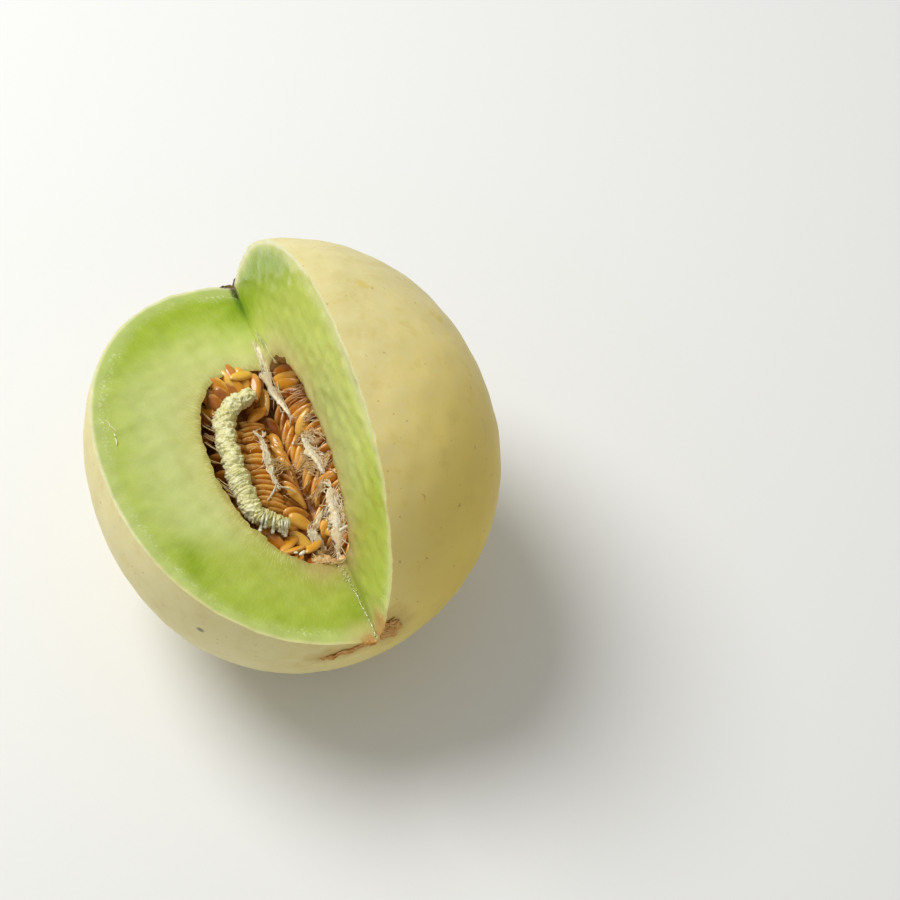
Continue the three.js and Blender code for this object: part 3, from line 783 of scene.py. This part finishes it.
def seed_coat():
    """Wet melon seeds: a smooth woody coat, glossy with juice, golden orange to brown, paler on its rim."""
    material, add, shader = surface("glossy_orange_seed_coat")
    place = add("place")
    shade = add("field", attribute_name="shade")
    mottle = add("grain", place, 380, 3, 0.55)
    level = add("multiply_add", add("subtract", mottle, 0.5), 0.45, shade)
    # The bright field is painted light: lighter tones on the loose seeds that lie on top.
    level = add("add", level, add("field", attribute_name="bright"))
    tone = add("ramp", level, stops=[
        (0.0, "#924c08"), (0.25, "#c07010"), (0.5, "#dd9320"), (0.75, "#e9a832"), (1.0, "#f2be4c"),
    ])
    rim = add("multiply", add("field", attribute_name="rim"), add("span", mottle, 0.3, 0.65, 0.2, 0.7))
    tone = add("mix", rim, tone, "#eec074")
    fill(shader, {
        "Base Color": tone, "Roughness": 0.28, "IOR": 1.48, "Coat Weight": 0.5, "Coat Roughness": 0.05,
        "Subsurface Weight": 0.2, "Subsurface Radius": (1.0, 0.6, 0.15), "Subsurface Scale": 0.001,
        "Normal": add("bump", mottle, 0.0002, 0.5),
    })
    return material


def set_input(modifier, name, value):
    """Sets a modifier's input by its socket's identifier."""
    for item in modifier.node_group.interface.items_tree:
        if item.item_type == "SOCKET" and item.in_out == "INPUT" and item.name == name:
            modifier[item.identifier] = value


def spread_tree(name):
    """Copies a form to every point, by the points' own turn and size, with a shade drawn for each."""
    tree = bpy.data.node_groups.new(name, "GeometryNodeTree")
    for label, kind in (("Geometry", "Geometry"), ("Form", "Object"), ("Size", "Float"), ("Seed", "Int"),
                        ("Finish", "Material")):
        tree.interface.new_socket(name=label, in_out="INPUT", socket_type="NodeSocket" + kind)
    tree.interface.new_socket(name="Geometry", in_out="OUTPUT", socket_type="NodeSocketGeometry")
    add, given = partial(node, tree), tree.nodes.new("NodeGroupInput").outputs
    turn = add("GeometryNodeInputNamedAttribute", data_type="FLOAT_VECTOR", Name="turn")
    size = add("GeometryNodeInputNamedAttribute", data_type="FLOAT", Name="size")
    real = add("GeometryNodeRealizeInstances", Geometry=add(
        "GeometryNodeStoreNamedAttribute", data_type="FLOAT", domain="INSTANCE", Name="shade",
        Value=add("FunctionNodeRandomValue", data_type="FLOAT", Seed=given["Seed"], output=1),
        Geometry=add(
            "GeometryNodeInstanceOnPoints", Points=given["Geometry"],
            Scale=add("multiply", size, given["Size"]),
            Rotation=add("FunctionNodeEulerToRotation", Euler=turn),
            Instance=add("GeometryNodeObjectInfo", Object=given["Form"], output="Geometry"),
        ),
    ))
    add("NodeGroupOutput", Geometry=add("GeometryNodeSetMaterial", Geometry=real, Material=given["Finish"]))
    return tree


def spread(name, tree, form, copies, finish, seed, bright=0):
    """One plain mesh of a form copied to places in millimetres, each with its turn and size."""
    places, turns, sizes = zip(*copies)
    piece = piece_from(name, places, [])
    store(piece.data, "turn", turns, "FLOAT_VECTOR")
    store(piece.data, "size", sizes)
    store(piece.data, "bright", np.broadcast_to(bright, len(places)))
    step = piece.modifiers.new("spread", "NODES")
    step.node_group = tree
    for label, value in (("Form", form), ("Size", 1.0), ("Seed", seed), ("Finish", finish)):
        set_input(step, label, value)
    graph = bpy.context.evaluated_depsgraph_get()
    made = bpy.data.meshes.new_from_object(piece.evaluated_get(graph))
    piece.modifiers.clear()
    piece.data = made
    return piece


def seeds():
    form = seed_form()
    loose = [seed_at(place, heading, roll, lift, 1) for place, heading, roll, lift in LOOSE_SEEDS]
    stacked = [*row_places(SEED_ROWS, SEED_DRAWS, 1, 0), *row_places(SEED_ROWS, UNDER_DRAWS, 3, UNDER_DROP)]
    stacked += row_places(EDGE_ROWS, UNDER_DRAWS, 2, 0.4)
    # Painted light for the loose seeds that lie on top.
    bright = [LOOSE_SEED_PAINTED_LIGHT] * len(loose) + [0] * len(stacked)
    piece = spread("seeds", spread_tree("seed_spread"), form, loose + stacked, seed_coat(), 4, bright)
    bpy.data.objects.remove(form)
    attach(piece, "root")
    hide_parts("seed_mass")


seeds()

# Seed strand
# The pale, moist strand that the seeds hung on. It lies on them along the left cut, folded like a ruffled
# cord, and it turns to the right at the blossom end, where short white buds stand on it.
STRAND_RADIUS = 3.95
STRAND_TAPER = (0.3, 0.7)  # share, and where it starts
STRAND_NECK = (0.24, 0.17)  # share, and where it ends
STRAND_PATH = [
    (29, 10.5, -1.3), (27.4, 15, -0.8), (24.8, 20.6, 0.2), (20.8, 25.2, 1.1), (15, 27.2, 1.2), (8, 28.4, 1.1),
    (0, 29.2, 1), (-9, 29, 1), (-17.5, 28.4, 1), (-22.8, 26.6, 1.2), (-25.6, 22.6, 1.6), (-28, 16.2, 2.2),
]  # along the axis, out from the crease, under the cut
STRAND_FOLDS = 54
STRAND_WAVES = [(0.3, 3.4), (0.2, 1.5), (0.1, 0.8)]  # height and length
TEETH = [
    (0.862, 4.6), (0.88, 1.4), (0.915, 3.5), (0.942, 1.7), (0.953, 3), (0.975, 3.9), (0.989, 2.1),
]  # share of the strand where each stands, and its length


def strand_flesh():
    """The moist strand: pale cream-green and finely granular, with painted shade in the grooves between its
    folds.
    """
    material, add, shader = surface("pale_granular_strand")
    place = add("place")
    fold = add("field", attribute_name="fold")
    cloud = add("grain", place, 170, 3, 0.55)
    tone = add("ramp", cloud, stops=[(0.35, "#cfc880"), (0.5, "#dcd79a"), (0.65, "#e8e4b6")])
    # Painted shade: darker olive in the grooves between the folds.
    tone = add("mix", add("span", fold, 0.05, 0.5, 0.45, 0), tone, "#c6bb70")
    cells = add("cells", place, 1000.0)
    for share, colour in (
        (add("span", cells, 0.25, 0.75, 0.45, 0), "#f6f3d6"),
        (add("field", attribute_name="greener"), "#cdc06c"),
        (add("field", attribute_name="whiter"), "#f4f2dc"),
    ):
        tone = add("mix", share, tone, colour)
    height = add("subtract", 1.0, cells)
    fill(shader, {
        "Base Color": tone, "Roughness": 0.38, "IOR": 1.4, "Subsurface Weight": 0.25,
        "Subsurface Radius": (1.0, 0.95, 0.5), "Subsurface Scale": 0.0015,
        "Normal": add("bump", height, 0.0004, 0.8),
    })
    return material


def on_left_cut(along, out, sink):
    return crease_at(along) + np.array([out * math.cos(LEFT_CUT), 0, out * math.sin(LEFT_CUT) - sink])


def strand_radius(share):
    neck = STRAND_NECK[0] * (1 - smoothstep(share, 0, STRAND_NECK[1]))
    return STRAND_RADIUS * (1 - neck - STRAND_TAPER[0] * smoothstep(share, STRAND_TAPER[1], 1))


def strand_rings(stations, sides):
    share = np.linspace(0, 1, stations)
    at, way = spline([on_left_cut(*row) for row in STRAND_PATH], share)
    at = at + 0.45 * np.stack([ripple(at, 7, seed) for seed in (70, 71, 72)], 1)
    angle = np.linspace(0, 2 * np.pi, sides, endpoint=False)
    wobble = 1.1 * np.sin(2 * angle + 5 * share[:, None] * np.pi)
    wobble += 0.7 * np.sin(3 * angle - 17 * share[:, None])
    wobble += 2.6 * ripple(np.stack([share * 60, 0 * share, 0 * share], 1), 9, 77)[:, None]
    fold = np.abs(np.cos(np.pi * STRAND_FOLDS * share[:, None] + wobble)) ** 0.7
    lumps = 1 + 0.06 * ripple(at, 6, 73)
    deep = 0.06 + 0.1 * smoothstep(share, 0.3, 0.75)[:, None]
    radius = (strand_radius(share) * end_curve(2 * share - 1, 9, 9) * lumps)[:, None]
    radius = radius * (1 - deep * (1 - fold))
    rings = tube(at, way, radius, radius * 0.95, sides)
    spoke = rings - rings.mean(1, keepdims=True)
    spoke /= np.maximum(np.linalg.norm(spoke, axis=2, keepdims=True), 1e-9)
    return rings + spoke * waves_on(rings, STRAND_WAVES, 74)[..., None], fold, share


def tooth(share, length, curl):
    """A white tooth that starts on top of the strand, bends over its front and hangs down."""
    at, way = spline([on_left_cut(*row) for row in STRAND_PATH], np.linspace(0, 1, 400))
    foot, ahead = at[int(share * 399)], way[int(share * 399)]
    front = np.cross(ahead, (0, 0, 1))
    front *= -1 if front[1] > 0 else 1
    radius = float(strand_radius(np.array(share)))
    knots = [
        foot + [0, 0, radius * 0.95] - 0.3 * radius * front,
        foot + [0, 0, radius * 0.8] + 0.65 * radius * front + 0.3 * curl * ahead,
        foot + [0, 0, -0.1 * radius] + 1.08 * radius * front + 0.5 * curl * ahead,
        foot + [0, 0, -0.1 * radius - 0.35 * length] + (radius + 0.5 * length) * front + 0.8 * curl * ahead,
    ]
    reach = np.linspace(0, 1, 26)
    places, ways = spline(knots, reach)
    width = (0.42 + 0.4 * smoothstep(reach, 0.55, 0.95)) * end_curve(2 * reach - 1, 4, 3)
    width = width * (1 + 0.2 * ripple(places, 1.6, 78))
    return lofted(tube(places, ways, width, width, 12, over=(0.3, 0.2, 1)))


def strand_and_teeth(finish):
    rings, fold, share = strand_rings(760, 48)
    body = lofted(rings)
    teeth = [tooth(place, length, math.sin(5 * i)) for i, (place, length) in enumerate(TEETH)]
    places, faces = joined([body, *teeth])
    extra = len(places) - fold.size
    green = np.repeat(smoothstep(share, 0.8, 0.88) * 0.6, fold.shape[1])
    piece = piece_from("seed_strand_ruffles", places, faces, finish)
    store(piece.data, "fold", np.append(fold.ravel(), np.full(extra, 1)))
    store(piece.data, "greener", np.append(green, np.zeros(extra)))
    store(piece.data, "whiter", np.append(np.zeros(fold.size + 2), np.full(extra - 2, 0.75)))
    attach(piece, "root")
    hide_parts("seed_strand")


strand_and_teeth(strand_flesh())

# White fibres
# Bundles of moist white fibre that ran between the rows of seeds and tore when the melon was cut. Each is a
# fleshy band that frays to threads along both sides and at its ends, with finer threads along it.
BANDS = [
    ([(6.4, 50), (5.4, 45), (4.6, 38.5), (4.8, 32), (6, 26), (7.6, 17)], (2.3, 1.8, 0.5), 10, 12),  # stem end
    ([(-7.1, 13.5), (-7.3, 8), (-8.2, 2), (-9, -4), (-8.6, -11)], (1.2, 1.3, 0.8), 8, 30),  # left
    ([(8.1, 10), (8.4, 1.7), (9.4, -3.8), (9.4, -10)], (0.8, 2.2, 1.3), 16, 30),  # right
    ([(9.6, -16), (8, -21.5), (7, -29), (5.2, -35.5), (3.2, -39.5)], (1.8, 3, 1.4), 60, 30),  # lower
    ([(5, -21), (0.6, -24.5), (-3, -30), (-0.6, -37)], (0.7, 1.6, 2.6), 12, 16),  # torn, in the groove
]  # places along each, its half widths at both ends and half way, and its threads beside and along it
BAND_THICKNESS = 0.45
BRANCHES = [
    ([(4.6, 41), (5.6, 46.5), (6.6, 52.5)], 0.2, 14, 1),  # the stem end band's fan, up the crease
    ([(-8.6, -8), (-11, -11.5), (-14.6, -14.9)], 0.4, 5, 0.3),  # the left band's fork
    ([(-8.6, -10), (-5.2, -10.6), (-2.2, -12.3)], 0.26, 4, 0.35),
    ([(-7.2, 12), (-8, 14), (-8.6, 15.5)], 0.36, 4, 0.5),
    ([(-6.9, 12), (-5, 13.6), (-4.6, 15)], 0.36, 4, 0.5),
    ([(9.6, -16), (9.4, -13.6), (8.2, -12)], 0.32, 8, 1.1),  # the lower band's frayed top
    ([(3.2, -39.5), (2.4, -43), (1.2, -46)], 0.36, 8, 0.9),
]  # path, radius, threads, and how far apart they lie


def moist_fibre(name, tones):
    """Moist plant fibre: soft and slightly see-through, lightly streaked, with a wet sheen."""
    return mottled(name, list(zip((0.3, 0.5, 0.7), tones)), 420, 3, (0.0003, 0.8), {
        "Roughness": 0.32, "IOR": 1.4, "Subsurface Weight": 0.4, "Subsurface Radius": (1.0, 0.85, 0.6),
        "Subsurface Scale": 0.0007, "Coat Weight": 0.2, "Coat Roughness": 0.12,
    })


def on_heap(x, y, lift):
    """Places on the seeds, or on the flesh beyond both ends of the hollow."""
    line, top = crease_at(y), heap_top(x, y)
    slopes = math.tan(math.pi - LEFT_CUT), math.tan(RIGHT_CUT)
    across = np.clip(x - line[..., 0], -10, 0.3)
    flesh = line[..., 2] - slopes[0] * np.minimum(0, across) + slopes[1] * np.maximum(0, across)
    beyond = smoothstep(y, 36.5, 40.5) + smoothstep(-y, 43, 46.5)
    return np.stack([x, y, top + np.maximum(0, flesh - top) * beyond + lift], -1)


def band_width(share, width):
    return np.interp(share, [0, 0.5, 1], width)


def band_body(path, width, seed):
    share = np.linspace(0, 1, 90)
    x, y = np.array(path, float).T
    at, way = spline(on_heap(x, y, 0.7 * BAND_THICKNESS), share)
    taper = end_curve(2 * share - 1, 2.2, 2.2)
    swell = 1 + 0.25 * ripple(at, 5, seed) + 0.14 * ripple(at, 1.6, seed + 1)
    wide = band_width(share, width) * taper * np.clip(swell, 0.35, 1.8)
    angle = np.linspace(0, 2 * np.pi, 28, endpoint=False)
    grooves = 1 + 0.08 * np.cos(7 * angle + 3 * share[:, None])
    grooves += 0.06 * np.cos(11 * angle - 4 * share[:, None])
    rings = tube(at, way, wide[:, None] * grooves, BAND_THICKNESS * taper[:, None] * grooves, len(angle))
    flat = rings.reshape(-1, 3)
    flat += 0.08 * ripple(flat, 1.1, seed + 60)[:, None]
    return lofted(rings)


def thread(knots, radius, stations=9, sides=4):
    share = np.linspace(0, 1, stations)
    at, way = spline(knots, share)
    thin = radius * (0.35 + 0.65 * np.sin(np.pi * np.clip(share * 0.9 + 0.05, 0, 1)))
    return lofted(tube(at, way, thin, thin, sides))


def frays(path, width, count, seed):
    """Threads that leave a band at its sides, most of them pointing along it."""
    draw = np.random.default_rng(seed)
    x, y = np.array(path, float).T
    core, way = spline(np.stack([x, y, 0 * x], 1), np.linspace(0, 1, 40))
    for _ in range(count):
        pick = draw.integers(2, 38)
        ahead = way[pick] * draw.choice([-1, 1])
        beside = np.array([-ahead[1], ahead[0], 0]) * draw.choice([-1, 1])
        edge = band_width(pick / 39, width)
        reach = draw.uniform(1.6, 4.2)
        lean = draw.uniform(0.15, 0.9)
        steps = [core[pick] + beside * edge * 0.4, core[pick] + beside * edge + ahead * reach * 0.4,
                 core[pick] + beside * (edge + lean * reach * 0.7) + ahead * reach]
        flat = np.array(steps) + draw.normal(0, 0.15, (3, 3))
        lifts = np.array([0.6, 0.5, draw.uniform(-0.6, 0.4)])
        yield thread(on_heap(flat[:, 0], flat[:, 1], lifts), draw.uniform(0.1, 0.26), 10)


def threads_along(path, width, count, seed):
    """Threads that run along a band, some of them splayed at their ends."""
    draw = np.random.default_rng(seed)
    x, y = np.array(path, float).T
    core, way = spline(np.stack([x, y, 0 * x], 1), np.linspace(0, 1, 60))
    for _ in range(count):
        start = draw.uniform(0, 0.7)
        share = np.linspace(start, min(1, start + draw.uniform(0.25, 0.6)), 7)
        pick = (share * 59).astype(int)
        across = draw.normal(0, 0.5) * band_width(share, width)
        across += draw.normal(0, 0.6) * np.linspace(-1, 1, 7) ** 2
        flat = core[pick, :2] + across[:, None] * np.stack([-way[pick, 1], way[pick, 0]], 1)
        knots = on_heap(flat[:, 0], flat[:, 1], draw.uniform(0.35, 0.95, 7))
        yield thread(knots, draw.uniform(0.1, 0.22), 16)


def branch(path, radius, count, apart, seed):
    draw = np.random.default_rng(seed)
    for _ in range(count):
        flat = np.array(path) + np.outer(np.linspace(0.3, 1, len(path)), draw.normal(0, apart, 2))
        free = np.where(np.abs(flat[:, 1]) > 38, 0, 99)
        flat[:, 0] = np.minimum(flat[:, 0], crease_at(flat[:, 1])[:, 0] + free)
        lifts = draw.uniform(0.2, 0.8, len(path))
        yield thread(on_heap(flat[:, 0], flat[:, 1], lifts), radius * draw.uniform(0.6, 1.1), 14, 6)


def fibres(finish):
    bodies = []
    for i, (path, width, beside, along) in enumerate(BANDS):
        bodies += [band_body(path, width, 80 + 2 * i), *frays(path, width, beside, 100 + i)]
        bodies += threads_along(path, width, along, 110 + i)
    for i, (path, radius, count, apart) in enumerate(BRANCHES):
        bodies += branch(path, radius, count, apart, 120 + i)
    piece = piece_from("white_fibre_bands", *joined(bodies), finish)
    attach(piece, "root")


moist_white = moist_fibre("moist_cream_fibre", ["#e0ca96", "#efe0b4", "#faf2da"])
fibres(moist_white)

# Fine threads
# Hair-thin beige threads of dried juice. They lie in tufts across the seeds, and some strings still tie the
# strand to the left wall of the hollow. Two pieces of torn beige tissue hang over the blossom end's seeds.
TUFTS = [
    ((3.6, 0.4), 12, 8, 26, 2.4), ((6.4, -3.4), -62, 9, 34, 2.8), ((11.5, 6.1), -70, 8, 26, 2.6),
    ((11, -5.6), -150, 7, 22, 2.2), ((5.6, -13.9), -158, 7, 22, 2.2), ((10.2, -28.5), -82, 8, 20, 1.8),
    ((-5.6, -0.4), 25, 8, 24, 3), ((8.5, 8.5), -15, 6, 20, 1.8), ((12, 24), -10, 8, 8, 3.4),
    ((11.4, 14), -20, 6, 14, 2.4), ((0, -38), 10, 9, 14, 2.4),
]  # middle, heading, length, threads and how far apart they lie
SEED_HAIRS = 44
HAIR_AREA = ((-16, 14), (-16, 20))
STRINGS = [
    ((24.5, 33.5), (17.2, 29)), ((19.1, 35), (15, 30.4)), ((14.6, 36), (10.6, 31.7)), ((11.1, 37), (6.7, 33)),
    ((4, 38), (1.3, 33.6)), ((-4.7, 37.4), (-9.4, 33.4)), ((-6.5, 37.2), (-12.5, 33.6)),
    ((-12.4, 36), (-15, 32)),
]  # along and out from the crease, at the wall and at the strand
STRING_SINK = 1.6
TISSUE = [
    ([(-8, -41.5), (-3, -44), (2, -44.5), (4.6, -42)], (1.4, 2.4, 1.4), 30),  # along the edge
    ([(-4, -38), (-2.5, -41), (0, -45)], (0.8, 1.6, 2), 16),
]  # path, half widths and threads


def tuft(middle, heading, length, count, apart, draw):
    ahead = np.array([math.cos(math.radians(heading)), math.sin(math.radians(heading))])
    for _ in range(count):
        turned = draw.normal(0, 0.2)
        way = np.array([ahead[0] - turned * ahead[1], ahead[1] + turned * ahead[0]])
        steps = np.outer(np.linspace(-0.5, 0.5, 5) * draw.uniform(0.5, 1), way) * length
        flat = np.array(middle) + draw.normal(0, apart / 2, 2) + steps + draw.normal(0, 0.2, (5, 2))
        yield thread(on_heap(flat[:, 0], flat[:, 1], draw.uniform(0.1, 1, 5)), draw.uniform(0.12, 0.27), 13)


def fine_threads(finish):
    draw = np.random.default_rng(7)
    bodies = [body for row in TUFTS for body in tuft(*row, draw)]
    for i, (path, width, count) in enumerate(TISSUE):
        bodies += [band_body(path, width, 140 + 2 * i), *frays(path, width, count, 150 + i)]
        bodies += threads_along(path, width, 30, 160 + i)
    for _ in range(SEED_HAIRS):
        place = [draw.uniform(*side) for side in HAIR_AREA]
        bodies += tuft(place, draw.choice([0, 50, -60]) + draw.normal(0, 12), draw.uniform(3, 7), 1, 0, draw)
    for wall, strand in STRINGS:
        for _ in range(3):
            start, end = on_left_cut(*wall, STRING_SINK), on_left_cut(*strand, STRING_SINK)
            shift = draw.normal(0, 0.35, 3)
            sag = (start + end) / 2 + shift + [0, 0, -0.3]
            bodies.append(thread([start + shift, sag, end + 0.5 * shift], draw.uniform(0.07, 0.16)))
    piece = piece_from("fine_threads", *joined(bodies), finish)
    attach(piece, "root")


fine_threads(moist_fibre("dried_beige_threads", ["#cfa05e", "#e2bd82", "#f2dcb0"]))

# Unripe seeds
# One small white seed and some crumbs of white pulp that stick to the seeds at the blossom end.
UNRIPE = [
    ((7.2, -35.2), 12, 4, (2.3, 0.85, 0.85)), ((-10.7, -39.6), -165, 2.3, (1.5, 0.7, 0.6)),
    ((-13, -39), 160, 2, (0.8, 0.5, 0.5)), ((4.5, 9.1), 60, 1.4, (0.7, 0.5, 0.5)),
    ((-3.2, 27.2), -70, 3.4, (0.9, 0.55, 0.6)),
]  # place, heading, height above the heap, half sizes


def unripe_seeds(finish):
    bodies = []
    turn = np.linspace(0, 2 * np.pi, 18, endpoint=False)
    share = np.linspace(0.03, 0.97, 12)[:, None] * np.pi
    ball = [np.cos(share) + 0 * turn, np.sin(share) * np.cos(turn), np.sin(share) * np.sin(turn)]
    for i, ((x, y), heading, lift, size) in enumerate(UNRIPE):
        places = np.stack(ball, -1) * size
        places *= 1 + 0.08 * ripple(places.reshape(-1, 3) + 9 * i, 1.2, 90).reshape(12, 18, 1)
        spin = np.array(Matrix.Rotation(math.radians(heading), 3, "Z"))
        bodies.append(lofted(places @ spin.T + [x, y, float(heap_top(x, y)) + lift]))
    piece = piece_from("unripe_white_seeds", *joined(bodies), finish)
    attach(piece, "root")


unripe_seeds(moist_fibre("unripe_white_seed_coat", ["#e2dcb6", "#f0ecd2", "#fbf9ec"]))

# Juice
# Juice that the knife pressed out. It beads beside the crease at the blossom end and runs down it in a bright
# line, it wets the threads at the stem end, and a torn sliver of flesh stands up on the left cut.
BEAD_ROWS = [
    ((-47, 3.4), (-53, 2.6), 34, 1.4), ((-53, 2.4), (-62, 1.4), 44, 0.7), ((-60, 1.5), (-72, 0.8), 20, 0.25),
    ((-76, 0.6), (-79.5, 0.7), 12, 0.7),
]
JUICE_LINE = [(-58, 1.8), (-62, 1.6), (-65.7, 1.3), (-70.8, 0.8), (-75.8, 0.6), (-79, 0.7)]
WET_THREADS = [
    ((56, 4.4), (49.4, 6.6), (44, 7.4), (39, 9.2)), ((53, 5.4), (46, 7.6), (40.4, 9.4), (34.6, 11.6)),
    ((50, 7), (44.5, 8.6), (38.6, 10.8), (33.5, 12.6)), ((55, 3.4), (50, 4.6), (45.4, 6)),
]  # along and out from the crease, on the right cut
SLIVERS = [
    [(23.6, 71.9), (21.6, 71), (21.2, 71.3), (19.6, 70.2), (18.4, 69.6), (18.1, 69.9)],
    [(15.6, 71), (14.2, 70.8), (12.2, 71.4)],
    [(17.4, 70.8), (16.2, 70.4)],
]  # along and out from the crease, on the left cut
BEAD_SIZES = (0.18, 0.46)


def clear_juice():
    """Melon juice: clear, faintly yellow-green, with sharp bright glints."""
    material, add, shader = surface("clear_melon_juice")
    place = add("place")
    tone = add("ramp", add("grain", place, 500, 3), stops=[(0.35, "#c3c768"), (0.65, "#eef0bc")])
    fill(shader, {
        "Base Color": tone, "Roughness": 0.06, "IOR": 1.35, "Transmission Weight": 0.35, "Coat Weight": 1.0,
        "Coat Roughness": 0.03,
    })
    return material


def on_right_cut(along, out, lift):
    cos, sin = math.cos(RIGHT_CUT), math.sin(RIGHT_CUT)
    return crease_at(along) + np.array([out * cos - lift * sin, 0, out * sin + lift * cos])


def bead_form():
    turn = np.linspace(0, 2 * np.pi, 12, endpoint=False)
    share = np.linspace(0.04, 0.96, 8)[:, None] * np.pi
    ball = [np.sin(share) * np.cos(turn), np.sin(share) * np.sin(turn), 0.75 * np.cos(share) + 0 * turn]
    return piece_from("bead_form", *lofted(np.stack(ball, -1)), middle=0)


def juice(finish):
    draw = np.random.default_rng(31)
    beads = []
    for first, last, count, apart in BEAD_ROWS:
        for _ in range(count):
            at = np.array(first) + draw.uniform() * (np.array(last) - first)
            along, out = at + draw.normal(0, apart, 2) * [1, 0.6]
            place = on_left_cut(along, max(out, 0.4), 0)
            beads.append((place.tolist(), (0, math.radians(22), 0), draw.uniform(*BEAD_SIZES)))
    form = bead_form()
    piece = spread("juice_beads", spread_tree("bead_spread"), form, beads, finish, 5)
    bpy.data.objects.remove(form)
    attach(piece, "root")
    share = np.linspace(0, 1, 60)
    at, way = spline([on_left_cut(along, out, -0.05) for along, out in JUICE_LINE], share)
    at += 0.12 * np.stack([ripple(at, 3, seed) for seed in (92, 93, 94)], 1)
    width = 0.34 * end_curve(2 * share - 1, 4, 4) * (1 + 0.4 * ripple(at, 1.6, 95))
    bodies = [lofted(tube(at, way, width, width, 10))]
    for row in WET_THREADS:
        knots = [on_right_cut(along, out, 0.2) for along, out in row]
        for _ in range(2):
            bodies.append(thread(np.array(knots) + draw.normal(0, 0.2, (len(knots), 3)), 0.17, 24, 8))
    run = piece_from("juice_runs", *joined(bodies), finish)
    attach(run, "root")


def slivers(finish):
    bodies = [thread([on_left_cut(along, out, -0.12) for along, out in row], 0.26, 24, 8) for row in SLIVERS]
    piece = piece_from("torn_slivers", *joined(bodies), finish)
    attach(piece, "root")


juice(clear_juice())
slivers(moist_white)

# Floor, light and camera
# A plain white floor with soft studio light from the upper left. The camera looks down on the melon as
# the picture shows it.
CAMERA_TURN = math.radians(-21.15)
CAMERA_RISE = math.radians(59.06)
AIM_ACROSS = math.radians(-4.4975)
AIM_UP = math.radians(-0.083)
CAMERA_DISTANCE = 0.749
SENSOR = 36
PHOTO_WIDTH = 900
FOCAL_PIXELS = 2027.215


def floor():
    bpy.ops.mesh.primitive_plane_add(size=6)
    plane = bpy.context.object
    plane.name = "floor"
    material, _, shader = surface("white_floor")
    fill(shader, {"Base Color": srgb("#ecece9"), "Roughness": 0.9})
    plane.data.materials.append(material)
    plane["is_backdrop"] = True


def area_light(name, place, size, power, aim=(0, 0, 0.05)):
    lamp = bpy.data.lights.new(name, "AREA")
    lamp.shape = "DISK"
    lamp.size = size
    lamp.energy = power
    stand = bpy.data.objects.new(name, lamp)
    bpy.context.scene.collection.objects.link(stand)
    stand.location = place
    stand.rotation_euler = (Vector(aim) - Vector(place)).to_track_quat("-Z", "Y").to_euler()


def camera():
    back = Vector((
        math.sin(CAMERA_TURN) * math.cos(CAMERA_RISE),
        -math.cos(CAMERA_TURN) * math.cos(CAMERA_RISE),
        math.sin(CAMERA_RISE),
    ))
    right = Vector((math.cos(CAMERA_TURN), math.sin(CAMERA_TURN), 0))
    up = back.cross(right)
    aside = math.cos(AIM_ACROSS) * right - math.sin(AIM_ACROSS) * back
    behind = math.sin(AIM_ACROSS) * right + math.cos(AIM_ACROSS) * back
    above = math.cos(AIM_UP) * up - math.sin(AIM_UP) * behind
    behind = math.sin(AIM_UP) * up + math.cos(AIM_UP) * behind
    lens = bpy.data.cameras.new("camera")
    lens.sensor_width = SENSOR
    lens.lens = FOCAL_PIXELS / PHOTO_WIDTH * SENSOR
    made = bpy.data.objects.new("camera", lens)
    bpy.context.scene.collection.objects.link(made)
    place = Matrix((aside, above, behind)).transposed().to_4x4()
    place.translation = Vector((MIDDLE * MM).tolist()) + back * CAMERA_DISTANCE
    made.matrix_world = place
    bpy.context.scene.camera = made


floor()
camera()
area_light("key_light", (-0.5, 0.7, 1.35), 0.9, 20.5)
sky = bpy.data.worlds.new("studio")
sky.use_nodes = True
sky.node_tree.nodes["Background"].inputs["Color"].default_value = (1, 1, 1, 1)
sky.node_tree.nodes["Background"].inputs["Strength"].default_value = 0.4
bpy.context.scene.world = sky
bpy.context.scene.view_settings.view_transform = "Standard"

seen_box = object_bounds()
cad, visual = ([list(corner) for corner in box] for box in (cad_box, seen_box))
